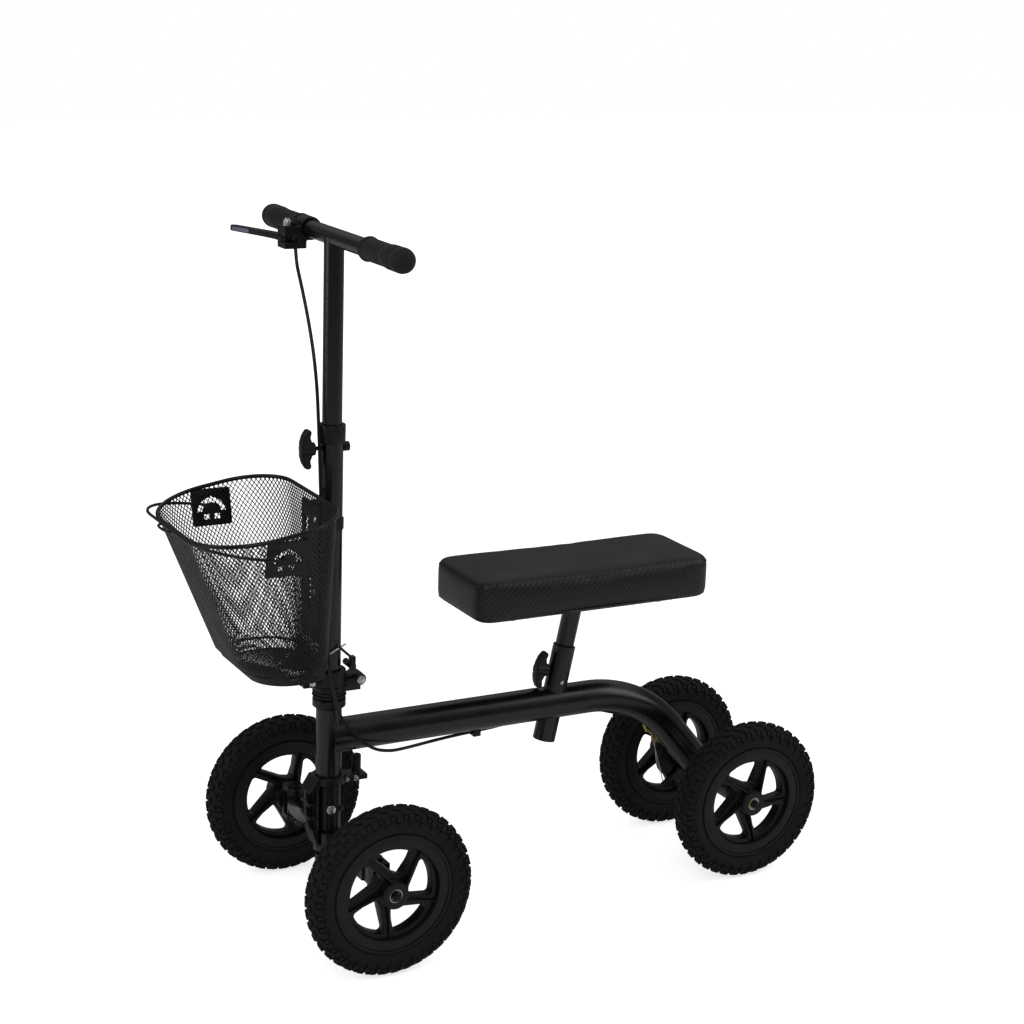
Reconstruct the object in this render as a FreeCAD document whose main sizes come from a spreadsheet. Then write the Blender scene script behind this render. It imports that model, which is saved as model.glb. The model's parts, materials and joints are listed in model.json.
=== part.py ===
import FreeCAD, Part
import math
import os
import re

from FreeCAD import Placement, Rotation, Vector

# Four-wheeled steerable knee scooter, in millimetres.
# +X points forward, +Y to the rider's left, +Z up, and the ground is Z = 0.

document = FreeCAD.newDocument("knee_scooter")

# ---------------------------------------------------------------- driving sizes

SIZES = {
    # wheels
    "front_axle_x": 259.4, "wheelbase": 656, "front_half_track": 196.5, "rear_half_track": 117,
    "wheel_radius": 127, "tyre_half_width": 23, "rim_radius": 90, "well_radius": 71.5,
    "rim_half_width": 18, "rim_lip": 2.5, "window_outer": 64, "window_inner": 27, "web_half_width": 9,
    "window_corner": 5,
    "hub_radius": 20, "hub_half_width": 24, "bearing_radius": 11, "bearing_width": 7, "axle_radius": 4,
    # steering axis
    "column_ahead": 10, "steerer_radius": 14.3, "steerer_bore": 11, "steerer_low": 96,
    "head_radius": 19, "head_bore": 16.4, "head_low": 232, "head_high": 340,
    "cup_radius": 24.5, "cup_height": 12, "race_radius": 20, "bearing_fit": 0.05,
    "post_radius": 18.5, "post_low": 149, "post_high": 218, "clearance": 0.3,
    # front axle and steering linkage
    "beam_width": 26, "beam_low": 116, "beam_high": 144, "sleeve_radius": 22,
    "kingpin_half_track": 150, "kingpin_radius": 6, "kingpin_sleeve": 12, "kingpin_low": 109,
    "kingpin_high": 145, "ear_thick": 9, "yoke_thick": 8, "ear_radius": 13,
    "arm_length": 42, "arm_low": 100, "arm_thick": 6, "arm_half_width": 8, "stud_radius": 4,
    "rod_radius": 3.8, "eye_radius": 8.5, "eye_thick": 9,
    # main tube
    "tube_radius": 25.4, "tube_wall": 2, "tube_height": 291, "tube_bend": 200, "tube_drop_angle": 50,
    "rear_tube_radius": 17, "rear_tube_left": 88, "rear_tube_right": 70,
    # axle bracket
    "web_width": 34, "web_core": 8, "rib_gap": 19, "shelf_back": 48, "shelf_width": 28, "shelf_thick": 8,
    "damper_back": 35, "damper_radius": 7, "damper_height": 36,
    # folding joint and lower column
    "fold_pin_back": 43, "fold_pin_height": 378, "fold_base_low": 354, "fold_base_high": 372,
    "fold_base_radius": 23, "fold_ear_inner": 10, "fold_ear_outer": 16, "fold_pin_radius": 4,
    "fold_knuckle": 9.5, "fold_collar_radius": 24, "fold_collar_high": 396,
    "column_radius": 16.5, "column_bore": 14.6, "column_high": 743, "collar_radius": 19.5,
    "collar_low": 735, "collar_high": 761, "column_knob_height": 727,
    "lug_length": 30, "lug_width": 18, "lug_slit": 4, "lug_ahead": 24, "lug_bolt_radius": 6.5,
    "lug_bolt_height": 6, "back_nut_radius": 7, "back_nut_height": 9,
    "latch_ahead": 15, "latch_height": 401.5, "latch_radius": 5, "latch_wire": 2,
    # clamping knobs
    "knob_stem": 3, "knob_boss": 10, "knob_depth": 20, "wing_depth": 14, "wing_thick": 9, "wing_end": 7,
    # upper column and handlebar
    "upper_radius": 14.3, "upper_bore": 12.2, "upper_low": 660, "bar_height": 1026, "bar_radius": 12.7,
    "bar_wall": 2, "bar_half": 226, "grip_radius": 16.5, "grip_inner_end": 116, "grip_half": 235,
    "grip_flare_radius": 19, "grip_flare": 12,
    # brake lever
    "clamp_inner": 82, "clamp_outer": 110, "clamp_radius": 17, "lever_ahead": 42, "lever_side": 98,
    "lever_low": 1008, "lever_thick": 8, "lever_pivot_radius": 3, "nose_height": 32, "nose_length": 34,
    "adjuster_radius": 4, "adjuster_cap": 5.5, "flap_radius": 2.8, "flap_thick": 3,
    # seat
    "seat_foot_back": 364.2, "seat_lean": 11.5, "seat_sleeve_radius": 17.4, "seat_sleeve_down": 60,
    "seat_sleeve_up": 92, "seat_post_radius": 14.3, "seat_post_down": 40, "seat_plate_height": 452,
    "seat_plate_thick": 4, "seat_bolt_radius": 5,
    "pad_front_back": 190, "pad_length": 407, "pad_width": 168, "pad_height": 68,
    "pad_corner": 26, "seat_plate_length": 290, "seat_plate_width": 112,
    # basket
    "basket_back": 38, "basket_wall": 3, "rim_height": 646, "rim_tilt": 9.3, "rim_half_depth": 105,
    "rim_half_breadth": 153, "shoulder_height": 434, "shoulder_half_depth": 66,
    "shoulder_half_breadth": 100, "floor_height": 408, "floor_half_depth": 58, "floor_half_breadth": 87,
    "side_plate_length": 60, "side_plate_height": 44, "side_plate_thick": 2, "back_block_width": 24,
    "strap_thick": 1.8, "strap_height": 16,
    "basket_wire": 3, "handle_wire": 2.2, "handle_pivot_height": 616, "handle_half_breadth": 158,
    # rear brake
    "drum_radius": 35, "drum_outer_y": 93, "drum_inner_y": 79, "band_radius": 39.5, "band_gap": 6,
    "anchor_thick": 3, "anchor_width": 8, "anchor_length": 66, "arm_boss": 7, "arm_plate": 4,
    # cable
    "cable_radius": 2.5, "clip_length": 12, "clip_width": 16, "clip_height": 14, "clip_bore": 4.2,
}

sheet = document.addObject("Spreadsheet::Sheet", "sizes")
for row, (alias, value) in enumerate(SIZES.items(), start=1):
    sheet.set("A%d" % row, alias)
    sheet.set("B%d" % row, str(value))
    sheet.setAlias("B%d" % row, alias)
document.recompute()

ALONG = {
    "X": Rotation(Vector(0, 1, 0), 90),
    "Y": Rotation(Vector(1, 0, 0), -90),
    "Z": Rotation(),
}
SUBPARTS = []


def size(alias):
    """Value of a cell of the sheet."""
    return float(sheet.get(alias))


def sized(text):
    """Turn the aliases in an expression into references to the sheet."""
    def reference(word):
        return "sizes." + word.group() if word.group() in SIZES else word.group()
    return re.sub(r"[a-z][a-z_]*", reference, str(text))


def bind(feature, **expressions):
    """Bind properties of a feature to expressions of the sheet's cells."""
    for name, text in expressions.items():
        feature.setExpression(name, sized(text))
    return feature


def place(feature, x, y, z, turn=Rotation()):
    """Bind a feature's position to the sheet."""
    feature.Placement = Placement(Vector(), turn)
    for axis, text in zip("xyz", (x, y, z)):
        feature.setExpression("Placement.Base." + axis, sized(text))
    return feature


def cylinder(radius, height, x, y, z, along="Z"):
    """A cylinder from a point, in the +X, +Y or +Z direction or along a given rotation."""
    feature = bind(document.addObject("Part::Cylinder", "cylinder"), Radius=radius, Height=height)
    turn = ALONG[along] if isinstance(along, str) else along
    return place(feature, x, y, z, turn)


def block(length, width, height, x, y, z, turn=Rotation()):
    """A box from its low corner."""
    feature = bind(document.addObject("Part::Box", "block"), Length=length, Width=width, Height=height)
    return place(feature, x, y, z, turn)


def fuse(*features):
    """One solid made of several features."""
    joined = document.addObject("Part::MultiFuse", "fuse")
    joined.Shapes = list(features)
    joined.Refine = True
    return joined


def cut(base, *tools):
    """A feature with other features taken away from it."""
    for tool in tools:
        trimmed = document.addObject("Part::Cut", "cut")
        trimmed.Base = base
        trimmed.Tool = tool
        base = trimmed
    return base


def group(*features):
    """Separate solids that share a node."""
    together = document.addObject("Part::Compound", "group")
    together.Links = list(features)
    return together


def ring(outer, bore, height, x, y, z, along="Z"):
    """A tube: a cylinder with a bore."""
    return cut(cylinder(outer, height, x, y, z, along), cylinder(bore, height, x, y, z, along))


def solid(shape):
    """A feature that holds a shape made from the sheet's values."""
    feature = document.addObject("Part::Feature", "solid")
    feature.Shape = shape
    return feature


def part(label, feature):
    """Name a sub-part. Its label is its file's name."""
    feature.Label = label
    SUBPARTS.append(feature)
    return feature


def new_body(label):
    """A PartDesign body that is a sub-part of its own."""
    body = document.addObject("PartDesign::Body", label)
    SUBPARTS.append(body)
    return body


def sketch_on(body, role, name):
    """A sketch on one of the body's own origin planes."""
    sketch = body.newObject("Sketcher::SketchObject", name)
    plane = [item for item in body.Origin.OriginFeatures if item.Role == role][0]
    sketch.AttachmentSupport = [(plane, "")]
    sketch.MapMode = "FlatFace"
    return sketch


def outline(sketch, points):
    """A closed polygon in a sketch."""
    corners = [Vector(x, y, 0) for x, y in points]
    for start, end in zip(corners, corners[1:] + corners[:1]):
        sketch.addGeometry(Part.LineSegment(start, end), False)


# Places that many sub-parts share, as expressions
COLUMN_X = "front_axle_x + column_ahead"
REAR_X = "front_axle_x - wheelbase"
FOLD_X = "front_axle_x + column_ahead - fold_pin_back"
MINUS_Y = Rotation(Vector(1, 0, 0), 90)

# Shape of the tyre's crown and of the wheel's windows
CROWN = [(0.52, 0.0), (1.0, 0.22), (1.0, 0.62), (0.62, 0.92), (0.0, 1.0)]
CHAMBER = [(0.3, 0.2), (0.76, 0.32), (0.76, 0.56), (0.4, 0.7), (0.0, 0.74)]
SPOKES = 5
SPOKE_LEAN = 24
WINDOW_OUTER_ANGLE = 30
WINDOW_INNER_ANGLE = 17


# ---------------------------------------------------------------- wheels

def tyre(label, x, y):
    """Tyre: a turned ring with a flat base on the rim, a rounded crown and an air chamber inside."""
    body = new_body(label)
    sketch = sketch_on(body, "XY_Plane", label + "_section")
    base = size("rim_radius")
    crown = size("wheel_radius") - base
    half = size("tyre_half_width")
    for shape in (CROWN, CHAMBER):
        side = [(half * across, base + crown * up) for across, up in shape]
        outline(sketch, side + [(-a, b) for a, b in reversed(side[:-1])])
    turned = body.newObject("PartDesign::Revolution", label + "_turned")
    turned.Profile = sketch
    turned.ReferenceAxis = (sketch, ["H_Axis"])
    turned.Angle = 360
    place(body, x, y, "wheel_radius", Rotation(Vector(0, 0, 1), 90))


def rim(label, x, y, phase):
    """Rim, five slanted spokes and hub, moulded in one piece."""
    body = new_body(label)
    sketch = sketch_on(body, "XY_Plane", label + "_section")
    half = size("rim_half_width")
    web = size("web_half_width")
    hub = size("hub_half_width")
    bore = size("bearing_radius")
    well = size("well_radius")
    lip = size("rim_lip")
    side = [
        (hub, bore),
        (hub, size("hub_radius")),
        (web, size("hub_radius") + lip),
        (web, well - lip),
        (half, well),
        (half, size("rim_radius")),
    ]
    outline(sketch, side + [(-a, b) for a, b in reversed(side)])
    turned = body.newObject("PartDesign::Revolution", label + "_turned")
    turned.Profile = sketch
    turned.ReferenceAxis = (sketch, ["H_Axis"])
    turned.Angle = 360
    window = sketch_on(body, "YZ_Plane", label + "_window")
    outer = size("window_outer")
    inner = size("window_inner")
    corners = []
    for radius, centre, half_angle in ((outer, phase, WINDOW_OUTER_ANGLE),
                                       (inner, phase + SPOKE_LEAN, - WINDOW_INNER_ANGLE)):
        for angle in (math.radians(centre - half_angle), math.radians(centre + half_angle)):
            corners.append(Vector(radius * math.cos(angle), radius * math.sin(angle), 0))
    middle = math.radians(phase)
    crown = Vector(outer * math.cos(middle), outer * math.sin(middle), 0)
    window.addGeometry(Part.Arc(corners[0], crown, corners[1]), False)
    for start, end in ((1, 2), (2, 3), (3, 0)):
        window.addGeometry(Part.LineSegment(corners[start], corners[end]), False)
    pocket = body.newObject("PartDesign::Pocket", label + "_pocket")
    pocket.Profile = window
    pocket.Midplane = True
    pocket.Length = 4 * hub
    document.recompute()
    pattern = body.newObject("PartDesign::PolarPattern", label + "_spokes")
    pattern.Originals = [pocket]
    pattern.Axis = (window, ["N_Axis"])
    pattern.Angle = 360
    pattern.Occurrences = SPOKES
    body.Tip = pattern
    document.recompute()
    across = ["Edge%d" % (index + 1) for index, edge in enumerate(pattern.Shape.Edges)
              if edge.Curve.TypeId == "Part::GeomLine" and abs(abs(edge.tangentAt(0).x) - 1) < 0.01
              and abs(edge.Length - 2 * web) < 0.1]
    rounded = body.newObject("PartDesign::Fillet", label + "_corners")
    rounded.Base = (pattern, across)
    bind(rounded, Radius="window_corner")
    body.Tip = rounded
    place(body, x, y, "wheel_radius", Rotation(Vector(0, 0, 1), -90))


def wheel_bearings(label, x, y):
    """Two ball bearings pressed into the ends of the hub."""
    rings = []
    for edge in ("- hub_half_width", "+ hub_half_width - bearing_width"):
        start = "%s %s" % (y, edge)
        rings.append(ring("bearing_radius", "axle_radius + bearing_fit", "bearing_width",
                          x, start, "wheel_radius", "Y"))
    part(label, group(*rings))


WHEELS = {
    "front_left": ("front_axle_x", "front_half_track", 20),
    "front_right": ("front_axle_x", "- front_half_track", 4),
    "rear_left": (REAR_X, "rear_half_track", 6),
    "rear_right": (REAR_X, "- rear_half_track", 6),
}
for name, (x, y, phase) in WHEELS.items():
    tyre("tyre_" + name, x, y)
    rim("rim_" + name, x, y, phase)
    wheel_bearings("bearings_" + name, x, y)


# ---------------------------------------------------------------- frame

TUBE_PLUG = 32


def main_tube():
    """Main tube: plugged at the head tube, level, then bent down to the rear axle."""
    height = size("tube_height")
    bend = size("tube_bend")
    drop = math.radians(size("tube_drop_angle"))
    front = size("front_axle_x") + size("column_ahead")
    back = size("front_axle_x") - size("wheelbase")
    corner = back + (height - size("wheel_radius")) / math.tan(drop)
    reach = bend * math.tan(drop / 2)
    start = Vector(front, 0, height)
    bend_start = Vector(corner + reach, 0, height)
    centre = bend_start - Vector(0, 0, bend)
    bend_middle = centre + Vector(-math.sin(drop / 2), 0, math.cos(drop / 2)) * bend
    bend_end = centre + Vector(-math.sin(drop), 0, math.cos(drop)) * bend
    end = Vector(back, 0, size("wheel_radius"))
    route = Part.Wire([
        Part.LineSegment(start, bend_start).toShape(),
        Part.Arc(bend_start, bend_middle, bend_end).toShape(),
        Part.LineSegment(bend_end, end).toShape(),
    ])
    outside, inside = [
        route.makePipeShell([Part.Wire(Part.Circle(start, Vector(1, 0, 0), radius).toShape())], True, False)
        for radius in (size("tube_radius"), size("tube_radius") - size("tube_wall"))]
    plug = Part.makeBox(2 * TUBE_PLUG, 100, 100, Vector(front - TUBE_PLUG, -50, height - 50))
    tube = solid(outside.cut(inside.cut(plug)))
    axis_x, axis_z = seat_axis("- seat_sleeve_down * 2")
    part("main_tube", cut(
        tube,
        cylinder("head_radius", "200", COLUMN_X, 0, "head_low - 20"),
        cylinder("rear_tube_radius", "200", REAR_X, "- 100", "wheel_radius", "Y"),
        cylinder("seat_sleeve_radius", "seat_sleeve_down * 5", axis_x, 0, axis_z, seat_turn()),
    ))


def seat_axis(distance):
    """A point of the leaning seat axis, from its crossing with the main tube."""
    x = "front_axle_x - seat_foot_back - (%s) * sin(seat_lean)" % distance
    z = "tube_height + (%s) * cos(seat_lean)" % distance
    return x, z


def seat_turn():
    """The rotation that lays a cylinder along the seat axis."""
    return Rotation(Vector(0, 1, 0), -size("seat_lean"))


main_tube()
part("head_tube", ring("head_radius", "head_bore", "head_high - head_low", COLUMN_X, 0, "head_low"))

# Headset: a cup at each end of the head tube, each with its bearing
headset = []
for low in ("head_low - cup_height", "head_high"):
    outer = "cup_radius" if low == "head_high" else "head_radius"
    headset.append(ring(outer, "race_radius - 4", "cup_height", COLUMN_X, 0, low))
    headset.append(ring("race_radius - 4", "steerer_radius + bearing_fit", "cup_height - 2",
                        COLUMN_X, 0, low + " + 1"))
part("headset", group(*headset))

# Rear axle tube, welded across the end of the main tube
part("rear_axle_tube", ring("rear_tube_radius", "axle_radius", "rear_tube_left + rear_tube_right",
                            REAR_X, "- rear_tube_right", "wheel_radius", "Y"))

# Rear axle: one long bolt with a head and a nut outside the hubs
rear_end = "rear_half_track + hub_half_width + 1"
part("rear_axle", fuse(
    cylinder("axle_radius", "2 * (%s)" % rear_end, REAR_X, "- (%s)" % rear_end, "wheel_radius", "Y"),
    cylinder("axle_radius + 2.5", "4", REAR_X, rear_end, "wheel_radius", "Y"),
    cylinder("axle_radius + 2.5", "4", REAR_X, "- (%s) - 4" % rear_end, "wheel_radius", "Y"),
))

# Seat sleeve, let through the main tube, with a hole for the knob's stem in its front
low_x, low_z = seat_axis("- seat_sleeve_down")
hole_x, hole_z = seat_axis("seat_sleeve_up * 0.55")
part("seat_sleeve", cut(
    ring("seat_sleeve_radius", "seat_post_radius + clearance", "seat_sleeve_down + seat_sleeve_up", low_x, 0,
         low_z, seat_turn()),
    cylinder("3", "40", hole_x, 0, hole_z, Rotation(Vector(0, 1, 0), 90 - size("seat_lean"))),
))


# ---------------------------------------------------------------- front axle

# Cast bracket: a ring round the lower cup, a ribbed web in front of the steering post, and a shelf
# behind with the steering damper standing on it
WEB = [(20, 232), (34, 232), (47, 212), (47, 172), (41, 148), (33, 124), (31, 124), (31, 220), (20, 220)]
POCKETS = [(34.5, 195), (34.5, 174), (33.5, 153)]
POCKET_LENGTH = 30
bracket = new_body("axle_bracket_web")
web_sketch = sketch_on(bracket, "XZ_Plane", "web_outline")
outline(web_sketch, WEB)
web_pad = bracket.newObject("PartDesign::Pad", "web")
web_pad.Profile = web_sketch
web_pad.Midplane = True
bind(web_pad, Length="web_width")
place(bracket, "front_axle_x", 0, 0)
SUBPARTS.remove(bracket)
pockets = []
for ahead, low in POCKETS:
    for side in ("web_core / 2", "- web_width"):
        pockets.append(block(POCKET_LENGTH, "web_width - web_core / 2", "rib_gap - 3",
                             "front_axle_x + %s" % ahead, side, low))
part("axle_bracket", cut(
    fuse(
        bracket,
        cylinder("cup_radius + 1", "cup_height", COLUMN_X, 0, "head_low - cup_height"),
        block("shelf_back - 4", "shelf_width", "shelf_thick", "front_axle_x - shelf_back",
              "- shelf_width / 2", "head_low - cup_height"),
        cylinder("damper_radius", "damper_height", "front_axle_x - damper_back", 0, "head_low - cup_height"),
    ),
    cylinder("head_radius", "cup_height * 4", COLUMN_X, 0, "head_low - cup_height * 2"),
    cylinder("sleeve_radius", "beam_high - beam_low + 32", COLUMN_X, 0, "beam_low - 10"),
    *pockets,
))


# Front axle beam with the steering sleeve in its middle and a kingpin sleeve at each end
part("front_axle_beam", cut(
    fuse(
        block("beam_width", "2 * kingpin_half_track", "beam_high - beam_low - 4",
              "front_axle_x - beam_width / 2 + 2", "- kingpin_half_track", "beam_low + 2"),
        cylinder("sleeve_radius", "beam_high - beam_low + 2", COLUMN_X, 0, "beam_low - 1"),
        cylinder("kingpin_sleeve", "kingpin_high - kingpin_low", "front_axle_x", "kingpin_half_track",
                 "kingpin_low"),
        cylinder("kingpin_sleeve", "kingpin_high - kingpin_low", "front_axle_x", "- kingpin_half_track",
                 "kingpin_low"),
    ),
    block("beam_width * 2", "20", "60", "front_axle_x - beam_width", "kingpin_half_track + kingpin_sleeve",
          "beam_low - 10"),
    cylinder("steerer_radius + clearance", "60", COLUMN_X, 0, "beam_low - 10"),
    cylinder("kingpin_radius", "60", "front_axle_x", "kingpin_half_track", "kingpin_low - 10"),
    cylinder("kingpin_radius", "60", "front_axle_x", "- kingpin_half_track", "kingpin_low - 10"),
    *[block("beam_width", "30", "60", "front_axle_x + %d" % ahead, side, "beam_low - 10")
      for ahead, side in ((12, "kingpin_half_track - 14"), (12, "- kingpin_half_track - 16"),
                          (-38, "kingpin_half_track - 14"), (-38, "- kingpin_half_track - 16"))],
))

# Kingpins: a bolt with a head through each end of the beam
kingpins = []
for side in ("kingpin_half_track", "- kingpin_half_track"):
    low = "kingpin_low - ear_thick - clearance - 3"
    pin = cylinder("kingpin_radius", "kingpin_high - kingpin_low + 2 * ear_thick + 7", "front_axle_x",
                   side, low)
    head = cylinder("kingpin_radius + 4", "4", "front_axle_x", side,
                    "kingpin_high + ear_thick + 2 * clearance + 0.2")
    kingpins.append(fuse(pin, head))
part("kingpins", group(*kingpins))


def knuckle(label, side):
    """Steering knuckle: a yoke round the kingpin sleeve, a stub axle and a rearward track arm."""
    pivot = "%s kingpin_half_track" % side
    flip = 1 if side == "" else -1
    web_y = "kingpin_half_track + kingpin_sleeve + 0.5"
    web_start = web_y if flip > 0 else "- (%s) - yoke_thick" % web_y
    ears = []
    for low in ("kingpin_high + clearance", "kingpin_low - ear_thick - clearance"):
        ears.append(cylinder("ear_radius", "ear_thick", "front_axle_x", pivot, low))
        ear_y = "kingpin_half_track" if flip > 0 else "- kingpin_half_track - kingpin_sleeve - yoke_thick"
        ears.append(block("ear_radius * 2", "kingpin_sleeve + yoke_thick", "ear_thick",
                          "front_axle_x - ear_radius", ear_y, low))
    web = block("ear_radius * 2", "yoke_thick", "kingpin_high - kingpin_low + 2 * (ear_thick + clearance)",
                "front_axle_x - ear_radius", web_start, "kingpin_low - ear_thick - clearance")
    stub_turn = "Y" if flip > 0 else MINUS_Y
    stub_start = "%s (kingpin_half_track + kingpin_sleeve + 2)" % side
    stub_length = "front_half_track + hub_half_width + 1 - kingpin_half_track - kingpin_sleeve - 2"
    stub = cylinder("axle_radius", stub_length, "front_axle_x", stub_start, "wheel_radius", stub_turn)
    cap_start = "%s (front_half_track + hub_half_width + 0.5)" % side
    cap = cylinder("axle_radius + 2.5", "4", "front_axle_x", cap_start, "wheel_radius", stub_turn)
    arm = block("arm_length", "2 * arm_half_width", "arm_thick", "front_axle_x - arm_length",
                pivot + " - arm_half_width", "arm_low")
    tip = cylinder("arm_half_width", "arm_thick", "front_axle_x - arm_length", pivot, "arm_low")
    stud_low = "arm_low + arm_thick" if flip > 0 else "arm_low - eye_thick - 2"
    stud = cylinder("stud_radius", "eye_thick + 2", "front_axle_x - arm_length", pivot, stud_low)
    part(label, cut(
        fuse(*ears, web, stub, cap, arm, tip, stud),
        cylinder("kingpin_radius + bearing_fit", "90", "front_axle_x", pivot, "kingpin_low - 20"),
    ))


knuckle("knuckle_left", "")
knuckle("knuckle_right", "-")


# ---------------------------------------------------------------- steering

# Steerer tube, from the track rods up to the folding joint
part("steerer", ring("steerer_radius", "steerer_bore", "fold_base_low - steerer_low", COLUMN_X, 0,
                     "steerer_low"))

# Steering post: a fluted clamp round the steerer between the head tube and the axle beam
flutes = []
for turn in range(8):
    angle = math.radians(45 * turn + 22.5)
    flutes.append(cylinder("2.2", "post_high - post_low",
                           "%s + (post_radius + 0.6) * %.4f" % (COLUMN_X, math.cos(angle)),
                           "(post_radius + 0.6) * %.4f" % math.sin(angle), "post_low"))
part("steering_post", cut(ring("post_radius", "steerer_radius", "post_high - post_low", COLUMN_X, 0,
                               "post_low"), *flutes))

# Steering arm: a clamp on the foot of the steerer, with one pin for both track rods
part("steering_arm", cut(
    fuse(
        cylinder("post_radius", "arm_thick * 2", COLUMN_X, 0, "steerer_low"),
        block("arm_length", "2 * arm_half_width", "arm_thick", COLUMN_X + " - arm_length", "- arm_half_width",
              "arm_low"),
        cylinder("arm_half_width", "arm_thick", COLUMN_X + " - arm_length", 0, "arm_low"),
        cylinder("stud_radius", "arm_thick + 2 * eye_thick + 4", COLUMN_X + " - arm_length", 0,
                 "arm_low - eye_thick - 2"),
    ),
    cylinder("steerer_radius", "40", COLUMN_X, 0, "steerer_low - 10"),
))


def track_rod(label, side):
    """Track rod with an eye at each end."""
    upper = side == ""
    low = "arm_low + arm_thick + clearance" if upper else "arm_low - clearance - eye_thick"
    inner_x = COLUMN_X + " - arm_length"
    outer_x = "front_axle_x - arm_length"
    outer_y = "%s kingpin_half_track" % side
    across = size("kingpin_half_track") * (1 if upper else -1)
    length = math.hypot(size("column_ahead"), across)
    turn = Rotation(Vector(0, 0, 1), Vector(-size("column_ahead"), across, 0))
    shaft = cylinder("rod_radius", "%.4f" % length, inner_x, 0, low + " + eye_thick / 2", turn)
    part(label, cut(
        fuse(
            shaft,
            cylinder("eye_radius", "eye_thick", inner_x, 0, low),
            cylinder("eye_radius", "eye_thick", outer_x, outer_y, low),
        ),
        cylinder("stud_radius + bearing_fit", "60", inner_x, 0, "arm_low - 30"),
        cylinder("stud_radius + clearance", "60", outer_x, outer_y, "arm_low - 30"),
    ))


track_rod("track_rod_left", "")
track_rod("track_rod_right", "-")


# ---------------------------------------------------------------- folding joint

# Fold base: a flange on the steerer with two ears behind it
ears = []
for ear_y in ("fold_ear_inner", "- fold_ear_outer"):
    ears.append(block("fold_pin_back - fold_base_radius / 2", "fold_ear_outer - fold_ear_inner", "18", FOLD_X,
                      ear_y, "fold_pin_height - 15"))
    ears.append(cylinder("9", "fold_ear_outer - fold_ear_inner", FOLD_X, ear_y, "fold_pin_height", "Y"))
part("fold_base", cut(
    fuse(cylinder("fold_base_radius", "fold_base_high - fold_base_low", COLUMN_X, 0, "fold_base_low"), *ears),
    cylinder("column_radius + 9", "40", COLUMN_X, 0, "fold_base_high"),
    cylinder("fold_pin_radius", "80", FOLD_X, "- 40", "fold_pin_height", "Y"),
))

# Hinge pin of the folding joint, pressed into the ears
part("fold_pin", fuse(
    cylinder("fold_pin_radius", "2 * fold_ear_outer + 2", FOLD_X, "- fold_ear_outer - 1", "fold_pin_height",
             "Y"),
    cylinder("fold_pin_radius + 2.5", "3", FOLD_X, "fold_ear_outer", "fold_pin_height", "Y"),
    cylinder("fold_pin_radius + 2.5", "3", FOLD_X, "- fold_ear_outer - 3", "fold_pin_height", "Y"),
))

# Fold collar: the clamp on the column's foot, its hinge knuckle and its two front lugs
collar_low = "fold_base_high + clearance"
part("fold_collar", cut(
    fuse(
        cylinder("fold_collar_radius", "fold_collar_high - fold_base_high - clearance", COLUMN_X, 0,
                 collar_low),
        cylinder("fold_knuckle", "2 * (fold_ear_inner - clearance)", FOLD_X,
                 "- fold_ear_inner + clearance", "fold_pin_height", "Y"),
        block("fold_pin_back - column_radius", "2 * (fold_ear_inner - clearance)", "14", FOLD_X,
              "- fold_ear_inner + clearance", collar_low),
        block("lug_length", "lug_width", "lug_width", "front_axle_x + lug_ahead", "- lug_width / 2",
              collar_low),
    ),
    cylinder("column_radius", "60", COLUMN_X, 0, collar_low),
    block("lug_length + 10", "lug_slit", "40", "front_axle_x + lug_ahead", "- lug_slit / 2",
          "fold_base_high - 5"),
    cylinder("fold_pin_radius + bearing_fit", "80", FOLD_X, "- 40", "fold_pin_height", "Y"),
))

# Fold latch: a cam lever with a thin wire handle beside the column
latch_x = FOLD_X + " + latch_ahead"
wire_turn = Rotation(Vector(0, 0, 1), Vector(20, 0, 19))
part("fold_latch", fuse(
    cylinder("latch_radius", "28", latch_x, -6, "latch_height", "Y"),
    block("7", "10", "15", latch_x + " - 4", 12, "latch_height"),
    cylinder("latch_wire", "30", latch_x, 20, "latch_height + 12", wire_turn),
    cylinder("latch_wire", "8", latch_x, 14, "latch_height + 12", "Y"),
))


# ---------------------------------------------------------------- columns

part("lower_column", cut(
    ring("column_radius", "column_bore", "column_high - fold_base_high - clearance", COLUMN_X, 0,
         collar_low),
    cylinder("3", "40", COLUMN_X, 0, "column_knob_height", "X"),
))

# Collar at the mouth of the lower column
part("column_collar", cut(
    cylinder("collar_radius", "collar_high - collar_low", COLUMN_X, 0, "collar_low"),
    cylinder("column_radius", "column_high - collar_low", COLUMN_X, 0, "collar_low"),
    cylinder("column_bore", "60", COLUMN_X, 0, "collar_low"),
))


def wing_knob(label, x, y, z, turn, reach, span):
    """Two-winged clamping knob on a threaded stem, pointing along the turned Z axis."""
    wing = bind(document.addObject("Part::Box", "wing"), Length=span, Width="wing_thick", Height="wing_depth")
    wing.Placement = Placement(Vector(-span / 2, -size("wing_thick") / 2, reach + 3), Rotation())
    stem = bind(document.addObject("Part::Cylinder", "stem"), Radius="knob_stem", Height=reach + 12)
    boss = bind(document.addObject("Part::Cylinder", "boss"), Radius="knob_boss", Height="knob_depth")
    boss.Placement = Placement(Vector(0, 0, reach), Rotation())
    ends = []
    for side in (-1, 1):
        end = bind(document.addObject("Part::Cylinder", "wing_end"), Radius="wing_end", Height="wing_depth")
        end.Placement = Placement(Vector(side * span / 2, 0, reach + 3), Rotation())
        ends.append(end)
    knob = fuse(wing, stem, boss, *ends)
    return part(label, place(knob, x, y, z, turn))


# Column knob: its stem clamps the upper column through the lower one
stem_start = COLUMN_X + " + upper_radius + clearance"
wing_turn = Rotation(Vector(0, 1, 0), 90)
wing_knob("column_knob", stem_start, 0, "column_knob_height", wing_turn, 14, 44)

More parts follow.
